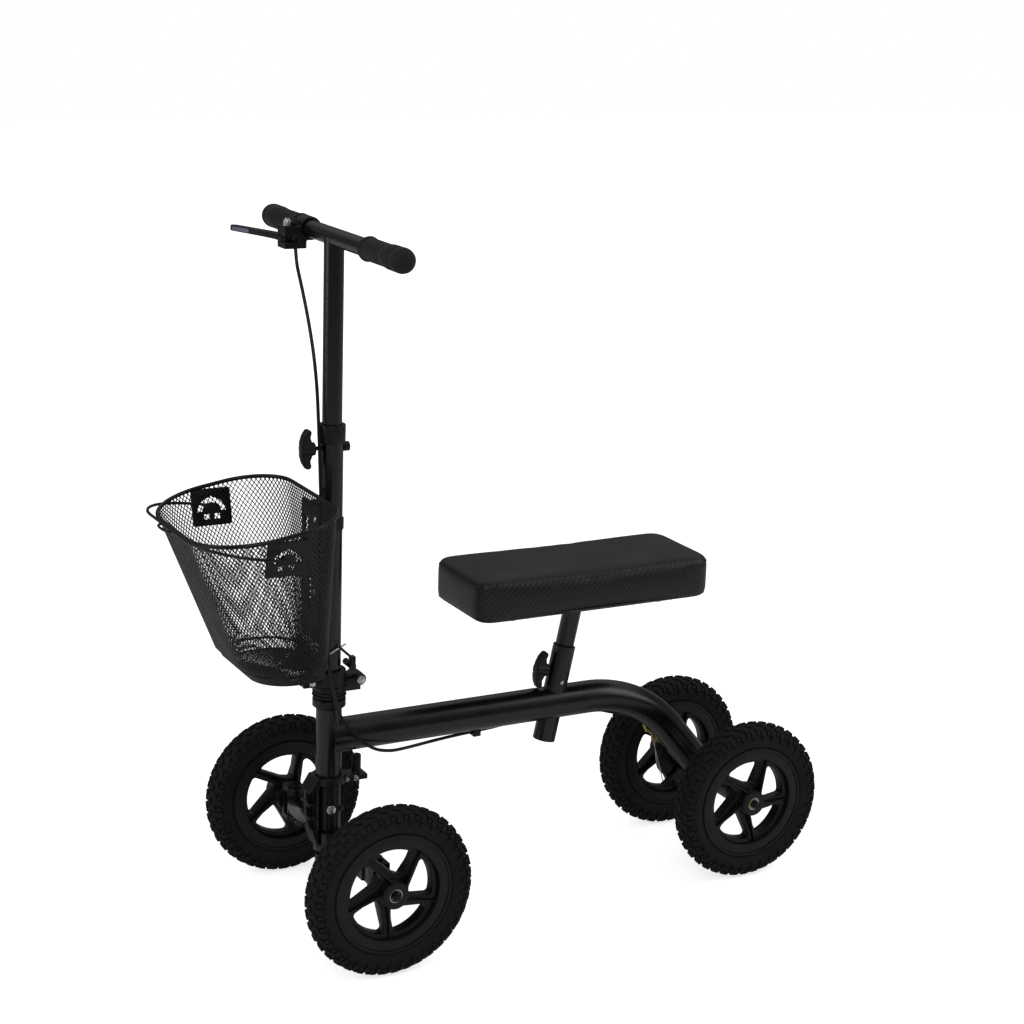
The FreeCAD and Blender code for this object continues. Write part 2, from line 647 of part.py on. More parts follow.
# Nut behind the column, and the nut and bolt of the fold collar's lugs
LUG_BOLT_AHEAD = 43
part("column_bolts", group(
    cylinder("back_nut_radius", "back_nut_height", COLUMN_X + " - column_radius - back_nut_height", 0,
             "column_knob_height", "X"),
    cylinder("lug_bolt_radius", "lug_bolt_height", "front_axle_x + %d" % LUG_BOLT_AHEAD, "lug_width / 2",
             "fold_pin_height + 3", "Y"),
    cylinder("lug_bolt_radius", "lug_bolt_height", "front_axle_x + %d" % LUG_BOLT_AHEAD,
             "- lug_width / 2 - lug_bolt_height", "fold_pin_height + 3", "Y"),
))

# Upper column, sliding in the lower one, coped to the handlebar
part("upper_column", cut(
    ring("upper_radius", "upper_bore", "bar_height - upper_low", COLUMN_X, 0, "upper_low"),
    cylinder("bar_radius", "100", COLUMN_X, "- 50", "bar_height", "Y"),
))

part("handlebar", ring("bar_radius", "bar_radius - bar_wall", "2 * bar_half", COLUMN_X, "- bar_half",
                       "bar_height", "Y"))


def grip(side):
    """Rubber grip with a flared, closed end."""
    turn = "Y" if side == "" else MINUS_Y
    start = "%s grip_inner_end" % side
    flare = "%s (grip_half - grip_flare)" % side
    return cut(
        fuse(
            cylinder("grip_radius", "grip_half - grip_inner_end - 2", COLUMN_X, start, "bar_height", turn),
            cylinder("grip_flare_radius", "grip_flare", COLUMN_X, flare, "bar_height", turn),
        ),
        cylinder("bar_radius", "bar_half - grip_inner_end", COLUMN_X, start, "bar_height", turn),
    )


part("grip_left", grip(""))
part("grip_right", grip("-"))


# ---------------------------------------------------------------- brake lever

PIVOT_X = COLUMN_X + " + lever_ahead - column_ahead"
ADJUSTER_X = COLUMN_X + " + lever_ahead - column_ahead + 2"

# Lever bracket: a clamp on the bar with a forked nose
part("lever_bracket", cut(
    fuse(
        cylinder("clamp_radius", "clamp_outer - clamp_inner", COLUMN_X, "- clamp_outer", "bar_height", "Y"),
        block("nose_length", "clamp_outer - clamp_inner", "nose_height", COLUMN_X + " + 6",
              "- clamp_outer", "lever_low - 10"),
    ),
    cylinder("bar_radius", "100", COLUMN_X, "- 150", "bar_height", "Y"),
    block("50", "60", "lever_thick + 2 * clearance", COLUMN_X + " + upper_radius + 4", "- clamp_outer - 20",
          "lever_low - clearance"),
    cylinder("adjuster_radius", "60", ADJUSTER_X, "- clamp_inner - 6", "lever_low + lever_thick"),
))

# Brake lever: a flat blade that flares away from the grip
lever = new_body("lever_body")
lever_sketch = sketch_on(lever, "XY_Plane", "lever_outline")
LEVER = [(-7, 8), (-8, -4), (-6, -18), (2, -44), (14, -78), (28, -116), (33, -121), (38, -118),
         (38, -110), (26, -74), (16, -42), (10, -18), (9, 4), (4, 8)]
outline(lever_sketch, LEVER)
lever_pad = lever.newObject("PartDesign::Pad", "lever_blade")
lever_pad.Profile = lever_sketch
bind(lever_pad, Length="lever_thick")
SUBPARTS.remove(lever)
place(lever, PIVOT_X, "- lever_side", "lever_low")
part("brake_lever", cut(lever, cylinder("lever_pivot_radius + bearing_fit", "60", PIVOT_X, "- lever_side",
                                        "lever_low - 20")))

# Barrel adjuster: a knurled cap on a hollow screw through the bracket
part("barrel_adjuster", fuse(
    cylinder("adjuster_radius - bearing_fit", "24", ADJUSTER_X, "- clamp_inner - 6",
             "lever_low + lever_thick + 1"),
    cylinder("adjuster_cap", "11", ADJUSTER_X, "- clamp_inner - 6", "lever_low + 22.5"),
))

# Parking latch: a flap on top of the bracket, on a barrel across it
part("parking_latch", fuse(
    cylinder("flap_radius", "24", COLUMN_X + " + 24.5", "- clamp_outer + 2", "lever_low + 25.4", "Y"),
    block("8", "24", "flap_thick", COLUMN_X + " + 17.5", "- clamp_outer + 2", "lever_low + 23.9"),
    block("3", "14", "7", COLUMN_X + " + 17.5", "- clamp_outer + 7", "lever_low + 23.9"),
))


# ---------------------------------------------------------------- seat

def seat_post():
    """Seat post with the pad's plate welded to its head."""
    foot_x, foot_z = seat_axis("- seat_post_down")
    head = "(seat_plate_height - tube_height) / cos(seat_lean)"
    head_x, _ = seat_axis(head)
    rod = cylinder("seat_post_radius", "seat_post_down + 10 + " + head, foot_x, 0, foot_z, seat_turn())
    bore = cylinder("seat_post_radius - tube_wall", "seat_post_down + " + head, foot_x, 0, foot_z,
                    seat_turn())
    trim = block("400", "400", "60", head_x + " - 200", -200, "seat_plate_height")
    plate = block("seat_plate_length", "seat_plate_width", "seat_plate_thick",
                  "front_axle_x - pad_front_back - pad_length / 2 - seat_plate_length / 2",
                  "- seat_plate_width / 2", "seat_plate_height")
    part("seat_post", fuse(cut(rod, trim, bore), plate))


seat_post()

# Seat pad: a plain cushion with rounded corners
pad = new_body("seat_pad")
pad_sketch = sketch_on(pad, "XY_Plane", "pad_outline")
half_length = size("pad_length") / 2
half_width = size("pad_width") / 2
outline(pad_sketch, [(half_length, half_width), (-half_length, half_width), (-half_length, -half_width),
                     (half_length, -half_width)])
pad_block = pad.newObject("PartDesign::Pad", "pad_block")
pad_block.Profile = pad_sketch
bind(pad_block, Length="pad_height")
document.recompute()
uprights = ["Edge%d" % (index + 1) for index, edge in enumerate(pad_block.Shape.Edges)
            if abs(edge.tangentAt(edge.FirstParameter).z) > 0.9]
corners = pad.newObject("PartDesign::Fillet", "pad_corners")
corners.Base = (pad_block, uprights)
bind(corners, Radius="pad_corner")
document.recompute()
edges = ["Edge%d" % (index + 1) for index, edge in enumerate(corners.Shape.Edges)
         if abs(edge.CenterOfMass.z - size("pad_height")) < 0.1]
crown = pad.newObject("PartDesign::Fillet", "pad_crown")
crown.Base = (corners, edges)
crown.Radius = 10
pad.Tip = crown
place(pad, "front_axle_x - pad_front_back - pad_length / 2", 0, "seat_plate_height + seat_plate_thick")

# Four bolts that hold the plate to the pad
bolts = []
for ahead in (-1, 1):
    for side in (-1, 1):
        bolts.append(cylinder("seat_bolt_radius", "4",
                              "front_axle_x - pad_front_back - pad_length / 2"
                              " + %d * (seat_plate_length / 2 - 18)" % ahead,
                              "%d * (seat_plate_width / 2 - 14)" % side, "seat_plate_height - 4"))
part("seat_bolts", group(*bolts))

# Seat knob: clamps the post through the front of the sleeve
knob_distance = "seat_sleeve_up * 0.55"
knob_x, knob_z = seat_axis(knob_distance)
lean = math.radians(size("seat_lean"))
knob_turn = Rotation(Vector(0, 1, 0), 90 - size("seat_lean"))
wing_knob("seat_knob", knob_x + " + (seat_post_radius + clearance) * cos(seat_lean)", 0,
          knob_z + " + (seat_post_radius + clearance) * sin(seat_lean)", knob_turn, 8, 30)


# ---------------------------------------------------------------- basket

def basket_ring(half_depth, half_breadth, inset):
    """A rounded outline whose back is straight and whose front is round, with its back at X = 0."""
    back = inset
    front = 2 * half_depth - inset
    side = half_breadth - inset
    back_bend = 0.75 * half_depth - inset
    front_bend = 0.95 * half_depth - inset
    half = math.sqrt(0.5)

    edges = []
    stations = [(front, side, front_bend, 1, 1), (back, side, back_bend, -1, 1),
                (back, -side, back_bend, -1, -1), (front, -side, front_bend, 1, -1)]
    arcs = []
    for x, y, bend, ahead, left in stations:
        centre = Vector(x - ahead * bend, y - left * bend, 0)
        across = centre + Vector(ahead * bend, 0, 0)
        along = centre + Vector(0, left * bend, 0)
        middle = centre + Vector(ahead * bend * half, left * bend * half, 0)
        arcs.append((across, middle, along) if ahead == left else (along, middle, across))
    for (start, middle, end), following in zip(arcs, arcs[1:] + arcs[:1]):
        edges.append(Part.Arc(start, middle, end).toShape())
        edges.append(Part.LineSegment(end, following[0]).toShape())
    return Part.Wire(edges)


def basket_loft(inset, floor_lift, above):
    """The basket's tapered body, from its floor up to its tilted rim."""
    sections = []
    levels = [("floor_half_depth", "floor_half_breadth", "floor_height"),
              ("shoulder_half_depth", "shoulder_half_breadth", "shoulder_height")]
    for depth, breadth, height in levels:
        wire = basket_ring(size(depth), size(breadth), inset)
        wire.translate(Vector(0, 0, size(height) + floor_lift))
        sections.append(wire)
    top = basket_ring(size("rim_half_depth"), size("rim_half_breadth"), inset)
    top.rotate(Vector(size("rim_half_depth"), 0, 0), Vector(0, 1, 0), size("rim_tilt"))
    top.translate(Vector(0, 0, size("rim_height") + above))
    sections.append(top)
    return Part.makeLoft(sections, True, True)


def basket():
    """Mesh basket as an open shell with a wire rim."""
    wall = size("basket_wall")
    shell = basket_loft(0, 0, 0).cut(basket_loft(wall, wall, 0.01))
    rim_wire = basket_ring(size("rim_half_depth"), size("rim_half_breadth"), wall / 2)
    rim_wire.rotate(Vector(size("rim_half_depth"), 0, 0), Vector(0, 1, 0), size("rim_tilt"))
    rim_wire.translate(Vector(0, 0, size("rim_height")))
    start = rim_wire.Edges[0]
    point = start.valueAt(start.FirstParameter)
    tangent = start.tangentAt(start.FirstParameter)
    section = Part.Wire(Part.Circle(point, tangent, size("basket_wire")).toShape())
    rim_tube = rim_wire.makePipeShell([section], True, False)
    basket_shape = solid(shell.fuse(rim_tube).removeSplitter())
    basket_shape.Placement = Placement(Vector(size("front_axle_x") + size("basket_back"), 0, 0), Rotation())
    part("basket", basket_shape)


basket()

# Side plates that hold the handle, lying on the sloping side walls
WALL_LEAN = math.degrees(math.atan2(size("rim_half_breadth") - size("shoulder_half_breadth"),
                                    size("rim_height") - size("shoulder_height")))
plates = []
for side in (-1, 1):
    wall_turn = Rotation(Vector(1, 0, 0), -side * WALL_LEAN)
    plate_y = "%d * (rim_half_breadth - 12.4) - %d" % (side, 0 if side > 0 else 2)
    plates.append(block("side_plate_length", "side_plate_thick", "side_plate_height",
                        "front_axle_x + basket_back + rim_half_depth - 36", plate_y,
                        "handle_pivot_height - side_plate_height / 2", wall_turn))
part("basket_plates", group(*plates))

# Bracket between the basket's back and the column
part("basket_bracket", cut(
    fuse(
        cylinder("column_radius + strap_thick", "strap_height", COLUMN_X, 0, "handle_pivot_height - 8"),
        block("basket_back - column_ahead - 1", "back_block_width", "64", COLUMN_X, "- back_block_width / 2",
              "handle_pivot_height - 30"),
    ),
    cylinder("column_radius", "120", COLUMN_X, 0, "handle_pivot_height - 60"),
))


def basket_handle():
    """Carrying handle: a wire bow that rests round the front of the rim."""
    wire = size("handle_wire")
    half = size("handle_half_breadth")
    reach = size("rim_half_depth") + 8
    hook = 5
    tip = half - 9
    diagonal = math.sqrt(0.5)
    bend = 88
    left = []
    for turn, centre, spread in ((hook, Vector(hook, half - hook, 0), -1),
                                 (bend, Vector(reach - bend, half - bend, 0), 1)):
        start = centre + (Vector(-turn, 0, 0) if spread < 0 else Vector(0, turn, 0))
        end = centre + (Vector(0, turn, 0) if spread < 0 else Vector(turn, 0, 0))
        left.append((start, centre + Vector(spread * turn, turn, 0) * diagonal, end))
    edges = []
    start = Vector(0, tip, 0)
    for arc_start, middle, arc_end in left:
        edges.append(Part.LineSegment(start, arc_start).toShape())
        edges.append(Part.Arc(arc_start, middle, arc_end).toShape())
        start = arc_end
    edges.append(Part.LineSegment(start, Vector(start.x, -start.y, 0)).toShape())
    start = Vector(start.x, -start.y, 0)
    for arc_start, middle, arc_end in reversed(left):
        flipped = [Vector(point.x, -point.y, 0) for point in (arc_end, middle, arc_start)]
        if (start - flipped[0]).Length > 0.01:
            edges.append(Part.LineSegment(start, flipped[0]).toShape())
        edges.append(Part.Arc(*flipped).toShape())
        start = flipped[2]
    edges.append(Part.LineSegment(start, Vector(0, -tip, 0)).toShape())
    route = Part.Wire(edges)
    section = Part.Wire(Part.Circle(Vector(0, tip, 0), Vector(0, 1, 0), wire).toShape())
    bow = route.makePipeShell([section], True, False)
    handle = solid(bow)
    pivot_x = size("front_axle_x") + size("basket_back") + size("rim_half_depth")
    handle.Placement = Placement(Vector(pivot_x, 0, size("handle_pivot_height")),
                                 Rotation(Vector(0, 1, 0), -9))
    part("basket_handle", handle)


basket_handle()


# ---------------------------------------------------------------- rear brake

# Drum bolted to the inner side of the right rear hub
part("brake_drum", cut(
    cylinder("drum_radius", "drum_outer_y - drum_inner_y", REAR_X, "- drum_outer_y", "wheel_radius", "Y"),
    cylinder("axle_radius + clearance", "40", REAR_X, "- drum_outer_y - 5", "wheel_radius", "Y"),
))

# Brake band round the drum, with the plate that holds it to the axle tube
part("brake_band", fuse(
    cut(
        ring("band_radius", "drum_radius + 1", "drum_outer_y - drum_inner_y - 4", REAR_X,
             "- drum_outer_y + 2", "wheel_radius", "Y"),
        block("60", "40", "band_gap", REAR_X, "- drum_outer_y - 5", "wheel_radius - 38"),
    ),
    cut(
        cylinder("band_radius", "3", REAR_X, "- drum_inner_y + 1.5", "wheel_radius", "Y"),
        cylinder("axle_radius", "10", REAR_X, "- drum_inner_y", "wheel_radius", "Y"),
    ),
    cut(
        ring("band_radius", "drum_radius + 1", "5", REAR_X, "- drum_inner_y - 2", "wheel_radius", "Y"),
        block("60", "40", "band_gap", REAR_X, "- drum_outer_y - 5", "wheel_radius - 38"),
    ),
))

# Cable anchor: an arm from the brake's plate with a threaded adjuster at its end
ANCHOR = (85, 73)
wire_line = Rotation(Vector(0, 0, 1), Vector(52, 0, 112))
part("brake_anchor", fuse(
    block("anchor_thick", "anchor_width", "anchor_length", REAR_X + " + 29", "- drum_inner_y + 4.8",
          "wheel_radius + 22",
          Rotation(Vector(0, 1, 0), 45)),
    cylinder("4", "22", REAR_X + " + %d" % (ANCHOR[0] - 14), "- drum_inner_y + 8",
             "wheel_radius + %d" % (ANCHOR[1] - 14), wire_line),
))

# Brake arm: pulls the band tight round the drum
part("brake_arm", cut(
    fuse(
        cylinder("arm_boss", "arm_plate", REAR_X + " + 5", "- drum_inner_y + 5", "wheel_radius - 20", "Y"),
        block("34", "arm_plate", "9", REAR_X + " + 4", "- drum_inner_y + 5", "wheel_radius - 27",
              Rotation(Vector(0, 1, 0), 34)),
    ),
    cylinder("2", "20", REAR_X + " + 30", "- drum_inner_y", "wheel_radius - 41", "Y"),
))


# ---------------------------------------------------------------- cable

def tube_along(points, radius):
    """A tube along straight runs joined by tangent arcs, each as large as its runs allow."""
    edges = []
    radii = []
    start = points[0]
    for before, corner, after in zip(points, points[1:], points[2:]):
        inward = (before - corner).normalize()
        onward = (after - corner).normalize()
        turn = math.pi - inward.getAngle(onward)
        reach = 0.45 * min((before - corner).Length, (after - corner).Length)
        bend = reach / math.tan(turn / 2)
        centre_line = (inward + onward).normalize()
        depth = bend / math.cos(turn / 2) - bend
        arc_start = corner + inward * reach
        arc_end = corner + onward * reach
        edges.append(Part.LineSegment(start, arc_start).toShape())
        edges.append(Part.Arc(arc_start, corner + centre_line * depth, arc_end).toShape())
        radii.append(round(bend))
        start = arc_end
    edges.append(Part.LineSegment(start, points[-1]).toShape())
    route = Part.Wire(edges)
    section = Part.Wire(Part.Circle(points[0], points[1] - points[0], radius).toShape())
    tube = route.makePipeShell([section], True, False)
    filled = math.pi * radius ** 2 * route.Length
    print("tube length %.0f, volume ratio %.3f, radii %s" % (route.Length, tube.Volume / filled, radii))
    return tube


# Routes from the front axle: ahead, left, up. Each stretch ends where the next one starts.
UPPER_RUN = [(31, -88, 997), (32, -80, 975), (34, -55, 945), (34, -32, 905), (33, -14, 860),
             (32.5, -2, 812), (32.5, 4, 764)]
LOWER_RUN = [(32.5, 4, 764), (32.5, 8.5, 728), (33, 13, 688), (32.5, 17, 640), (32, 18, 590), (31.5, 20, 540),
             (29, 24, 490), (26, 29, 445), (24, 32, 405), (18, 34, 372)]
FRAME_RUN = [(17.98, 34, 371.9), (13, 35.7, 344.5), (-3, 36, 316), (-25, 35, 291), (-50, 33, 272),
             (-80, 24, 262), (-115, 12, 258.5), (-155, 5, 259.5), (-195, 2, 261.5), (-234, 0, 262.6),
             (-282, -7, 262.6),
             (-332, -22.5, 266), (-387, -25, 266), (-440, -27, 262), (-490, -30, 246), (-530, -48, 228),
             (-557, -66, 213), (-566, -71, 208)]


def cable(label, run):
    """A stretch of the brake cable's housing."""
    points = [Vector(size("front_axle_x") + ahead, left, up) for ahead, left, up in run]
    part(label, solid(tube_along(points, size("cable_radius"))))


cable("cable_upper", UPPER_RUN)
cable("cable_lower", LOWER_RUN)
cable("cable_frame", FRAME_RUN)

# Clip that holds the cable under the main tube
CLIP_BACK = 238
part("cable_clip", cut(
    block("clip_length", "clip_width", "clip_height", "front_axle_x - %d" % CLIP_BACK, "- clip_width / 2",
          "tube_height - tube_radius - 9"),
    cylinder("tube_radius", "40", "front_axle_x - %d" % (CLIP_BACK + 14), 0, "tube_height", "X"),
    cylinder("clip_bore", "40", "front_axle_x - %d" % (CLIP_BACK + 14), 0,
             "tube_height - tube_radius - 3", "X"),
))


# ---------------------------------------------------------------- output

document.recompute()
for item in document.Objects:
    if "Invalid" in item.State or "Error" in item.State:
        raise RuntimeError("failed feature: %s %s" % (item.Label, item.State))
for item in SUBPARTS:
    if item.Shape.isNull() or not item.Shape.isValid():
        raise RuntimeError("bad shape: " + item.Label)

os.makedirs("parts", exist_ok=True)
low = Vector(1e9, 1e9, 1e9)
high = Vector(-1e9, -1e9, -1e9)
for item in SUBPARTS:
    item.Shape.exportStep("parts/%s.step" % item.Label)
    bounds = item.Shape.BoundBox
    low = Vector(min(low.x, bounds.XMin), min(low.y, bounds.YMin), min(low.z, bounds.ZMin))
    high = Vector(max(high.x, bounds.XMax), max(high.y, bounds.YMax), max(high.z, bounds.ZMax))
print(len(SUBPARTS), "sub-parts from", low, "to", high)
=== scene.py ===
import json
import math

import bmesh
import bpy
from mathutils import Matrix, Vector

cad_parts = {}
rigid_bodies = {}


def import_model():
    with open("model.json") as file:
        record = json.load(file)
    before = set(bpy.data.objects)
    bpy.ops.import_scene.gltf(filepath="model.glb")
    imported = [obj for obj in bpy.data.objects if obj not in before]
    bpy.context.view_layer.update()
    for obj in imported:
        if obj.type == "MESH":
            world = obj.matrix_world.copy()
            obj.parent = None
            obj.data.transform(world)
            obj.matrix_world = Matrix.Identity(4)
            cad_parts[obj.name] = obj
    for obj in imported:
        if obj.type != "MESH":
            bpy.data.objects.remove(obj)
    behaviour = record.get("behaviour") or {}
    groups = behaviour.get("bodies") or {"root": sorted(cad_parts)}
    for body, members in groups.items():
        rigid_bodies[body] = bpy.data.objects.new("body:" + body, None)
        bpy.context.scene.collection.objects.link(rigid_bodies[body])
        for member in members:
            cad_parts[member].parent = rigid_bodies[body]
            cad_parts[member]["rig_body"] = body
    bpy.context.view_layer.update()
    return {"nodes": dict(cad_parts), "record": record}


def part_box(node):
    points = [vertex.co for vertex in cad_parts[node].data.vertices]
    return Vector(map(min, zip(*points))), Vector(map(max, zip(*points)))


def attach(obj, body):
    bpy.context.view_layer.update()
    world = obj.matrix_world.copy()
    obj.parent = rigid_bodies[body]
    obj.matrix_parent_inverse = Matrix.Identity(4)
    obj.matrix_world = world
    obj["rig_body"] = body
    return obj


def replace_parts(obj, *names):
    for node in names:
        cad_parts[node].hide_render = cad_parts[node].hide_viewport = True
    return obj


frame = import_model()
scene = bpy.context.scene


# ------------------------------------------------------------------ camera, floor and light
# A long lens from the front left, a little above the handlebar, with the camera rolled slightly.
# The floor and the surroundings are plain and pale, lit by large soft panels.

CAMERA_PLACE = Vector((1.49541, 2.81565, 1.46785))
CAMERA_YAW, CAMERA_PITCH, CAMERA_ROLL = 0.49483, 0.26403, 0.03315
LENS_MM, SENSOR_MM = 78.09, 36

sight = Vector((-math.sin(CAMERA_YAW) * math.cos(CAMERA_PITCH),
                -math.cos(CAMERA_YAW) * math.cos(CAMERA_PITCH),
                -math.sin(CAMERA_PITCH)))
level_right = sight.cross(Vector((0, 0, 1))).normalized()
level_up = level_right.cross(sight)
camera_right = level_right * math.cos(CAMERA_ROLL) + level_up * math.sin(CAMERA_ROLL)
camera_up = level_up * math.cos(CAMERA_ROLL) - level_right * math.sin(CAMERA_ROLL)
lens = bpy.data.cameras.new("camera")
lens.sensor_width = SENSOR_MM
lens.lens = LENS_MM
lens.clip_end = 50
camera = bpy.data.objects.new("camera", lens)
turn = Matrix((camera_right, camera_up, -sight)).transposed()
camera.matrix_world = Matrix.Translation(CAMERA_PLACE) @ turn.to_4x4()
scene.collection.objects.link(camera)
scene.camera = camera
scene.view_settings.view_transform = "Standard"


def linear(code):
    """Linear colour, with full alpha, of an sRGB hex code."""
    channels = [int(code[start:start + 2], 16) / 255 for start in (1, 3, 5)]
    return [c / 12.92 if c <= 0.04045 else ((c + 0.055) / 1.055) ** 2.4 for c in channels] + [1.0]


def add_node(tree, kind, settings=None, inputs=None):
    """Add a node. Inputs are values, or the output sockets of other nodes."""
    item = tree.nodes.new(kind)
    for name, value in (settings or {}).items():
        setattr(item, name, value)
    for name, value in (inputs or {}).items():
        if isinstance(value, bpy.types.NodeSocket):
            tree.links.new(value, item.inputs[name])
        else:
            item.inputs[name].default_value = value
    return item


world = bpy.data.worlds.new("surroundings")
world.use_nodes = True
SKY_SEEN, SKY_LIGHT = 1.0, 0.12
sky = world.node_tree
ray = add_node(sky, "ShaderNodeLightPath")
brightness = add_node(sky, "ShaderNodeMapRange", inputs={
    "Value": ray.outputs["Is Camera Ray"], "To Min": SKY_LIGHT, "To Max": SKY_SEEN})
sky.nodes["Background"].inputs["Color"].default_value = linear("#ffffff")
sky.links.new(brightness.outputs["Result"], sky.nodes["Background"].inputs["Strength"])
scene.world = world

PANELS = {
    # name: place, point it faces, width and height in metres, power in watts
    "key_panel": ((1.6, 2.6, 2.6), (0, 0, 0.4), 2.0, 2.0, 32),
    "front_panel": ((2.8, -0.6, 1.4), (0, 0, 0.5), 1.4, 2.2, 16),
    "back_panel": ((-2.4, 1.6, 2.0), (0, 0, 0.4), 1.4, 2.0, 20),
    "top_panel": ((-2.0, -2.5, 5.0), (-2.0, -2.5, 0), 12.0, 12.0, 170),
}
for name, (place, target, width, height, power) in PANELS.items():
    light = bpy.data.lights.new(name, "AREA")
    light.shape = "RECTANGLE"
    light.size, light.size_y, light.energy = width, height, power
    panel = bpy.data.objects.new(name, light)
    panel.location = place
    panel.rotation_euler = (Vector(target) - Vector(place)).to_track_quat("-Z", "Y").to_euler()
    scene.collection.objects.link(panel)

FLOOR_HALF = 12
ground = bmesh.new()
bmesh.ops.create_grid(ground, x_segments=1, y_segments=1, size=FLOOR_HALF)
floor_mesh = bpy.data.meshes.new("floor")
ground.to_mesh(floor_mesh)
ground.free()
floor = bpy.data.objects.new("floor", floor_mesh)
scene.collection.objects.link(floor)
floor_paint = bpy.data.materials.new("pale_floor")
floor_paint.use_nodes = True
floor_tree = floor_paint.node_tree
floor_shader = floor_tree.nodes["Principled BSDF"]
floor_shader.inputs["Base Color"].default_value = linear("#f7f7f5")
floor_shader.inputs["Roughness"].default_value = 0.7
floor_shader.inputs["Emission Color"].default_value = linear("#ffffff")
# the sweep glows a little where it is seen, and more with distance, so that it meets a white wall
FLOOR_GLOW_NEAR, FLOOR_GLOW_FAR = 0.72, 1.0
GLOW_STARTS, GLOW_FULL = 1.2, 3.6
floor_place = add_node(floor_tree, "ShaderNodeTexCoord").outputs["Object"]
distance = add_node(floor_tree, "ShaderNodeVectorMath", {"operation": "LENGTH"}, {0: floor_place})
glow = add_node(floor_tree, "ShaderNodeMapRange", inputs={
    "Value": distance.outputs["Value"], "From Min": GLOW_STARTS, "From Max": GLOW_FULL,
    "To Min": FLOOR_GLOW_NEAR, "To Max": FLOOR_GLOW_FAR})
seen = add_node(floor_tree, "ShaderNodeMath", {"operation": "MULTIPLY"}, {
    0: add_node(floor_tree, "ShaderNodeLightPath").outputs["Is Camera Ray"], 1: glow.outputs["Result"]})
floor_tree.links.new(seen.outputs["Value"], floor_shader.inputs["Emission Strength"])
floor_mesh.materials.append(floor_paint)


# ------------------------------------------------------------------ steel tubes and axles
# Welded and drawn steel tube: main tube, head tube, column, crossbar, axle beam and track rods. They
# are sprayed with powder coat and baked, which leaves a faint orange peel.

MM = 0.001
CLOUD_SIZE = 45 * MM
CLOUD_LOW, CLOUD_HIGH = 0.3, 0.7
GRAIN_STRENGTH = 0.6
CAD_SMOOTH_ANGLE = math.radians(30)
SLOT_OF_NODE = {item["node"]: item["material_slot"] for item in frame["record"]["subparts"]}
FINISH_OF_SLOT = {}


def finish(name, dark, light, roughness, spread, grain_mm, relief_mm, metallic=0.0, coat=0.0,
           sheen=0.0, specular=0.3):
    """A finish whose colour and roughness wander between two values, with a fine grain in relief."""
    material = bpy.data.materials.new(name)
    material.use_nodes = True
    tree = material.node_tree
    shader = tree.nodes["Principled BSDF"]
    place = add_node(tree, "ShaderNodeTexCoord").outputs["Object"]
    cloud = add_node(tree, "ShaderNodeTexNoise",
                     inputs={"Vector": place, "Scale": 1 / CLOUD_SIZE, "Detail": 4.0})
    grain = add_node(tree, "ShaderNodeTexNoise",
                     inputs={"Vector": place, "Scale": 1 / (grain_mm * MM), "Detail": 2.0})
    colour = add_node(tree, "ShaderNodeMix", {"data_type": "RGBA"}, {"Factor": cloud.outputs["Fac"]})
    colour.inputs["A"].default_value = linear(dark)
    colour.inputs["B"].default_value = linear(light)
    gloss = add_node(tree, "ShaderNodeMapRange", inputs={
        "Value": cloud.outputs["Fac"], "From Min": CLOUD_LOW, "From Max": CLOUD_HIGH,
        "To Min": roughness - spread, "To Max": roughness + spread})
    relief = add_node(tree, "ShaderNodeBump", inputs={
        "Strength": GRAIN_STRENGTH, "Distance": relief_mm * MM, "Height": grain.outputs["Fac"]})
    tree.links.new(colour.outputs["Result"], shader.inputs["Base Color"])
    tree.links.new(gloss.outputs["Result"], shader.inputs["Roughness"])
    tree.links.new(relief.outputs["Normal"], shader.inputs["Normal"])
    shader.inputs["Metallic"].default_value = metallic
    shader.inputs["Coat Weight"].default_value = coat
    shader.inputs["Coat Roughness"].default_value = 0.2
    shader.inputs["Sheen Weight"].default_value = sheen
    shader.inputs["Specular IOR Level"].default_value = specular
    return material


def dress(slot, material):
    """Give a finish to the CAD nodes of a material slot, and keep it for the pieces made for it."""
    FINISH_OF_SLOT[slot] = material
    for name, node in frame["nodes"].items():
        if SLOT_OF_NODE[name] == slot:
            node.data.materials.clear()
            node.data.materials.append(material)
            node.data.shade_smooth()
            node.data.set_sharp_from_angle(angle=CAD_SMOOTH_ANGLE)


# Semi-gloss powder coat on steel tube: a faint orange peel breaks up the long highlights.
powder_coat = finish("semi_gloss_powder_coat", "#050506", "#08080a", 0.28, 0.05, 1.6, 0.03, coat=0.12,
                     specular=0.4)
dress("black_paint", powder_coat)


# ------------------------------------------------------------------ cast, pressed and turned parts
# Castings, pressings and turned pieces of the frame carry on their CAD shapes with their edges
# broken, as the real ones are tumbled before coating.

# Satin powder coat on cast and pressed brackets: flatter, with a coarser skin.
satin_coat = finish("satin_powder_coat", "#060607", "#0b0b0c", 0.42, 0.06, 1.1, 0.05)
dress("cast_black", satin_coat)
# Moulded ABS for knobs and brackets.
moulded_plastic = finish("moulded_black_plastic", "#060607", "#0b0b0c", 0.4, 0.07, 0.8, 0.03)
dress("knob_plastic", moulded_plastic)
# Bright zinc plate on bolts, nuts and levers.
zinc_plate = finish("bright_zinc_plate", "#b9bbbb", "#d2d4d4", 0.28, 0.07, 0.7, 0.02, metallic=1.0)
dress("zinc_steel", zinc_plate)
# Yellow chromate over zinc on the brake's cable adjuster.
yellow_zinc = finish("yellow_chromate_zinc", "#b39a4e", "#d8c172", 0.32, 0.07, 0.7, 0.02, metallic=1.0)
dress("yellow_zinc", yellow_zinc)


MERGE_GAP = 1e-6
FLAT_ANGLE = math.radians(0.6)


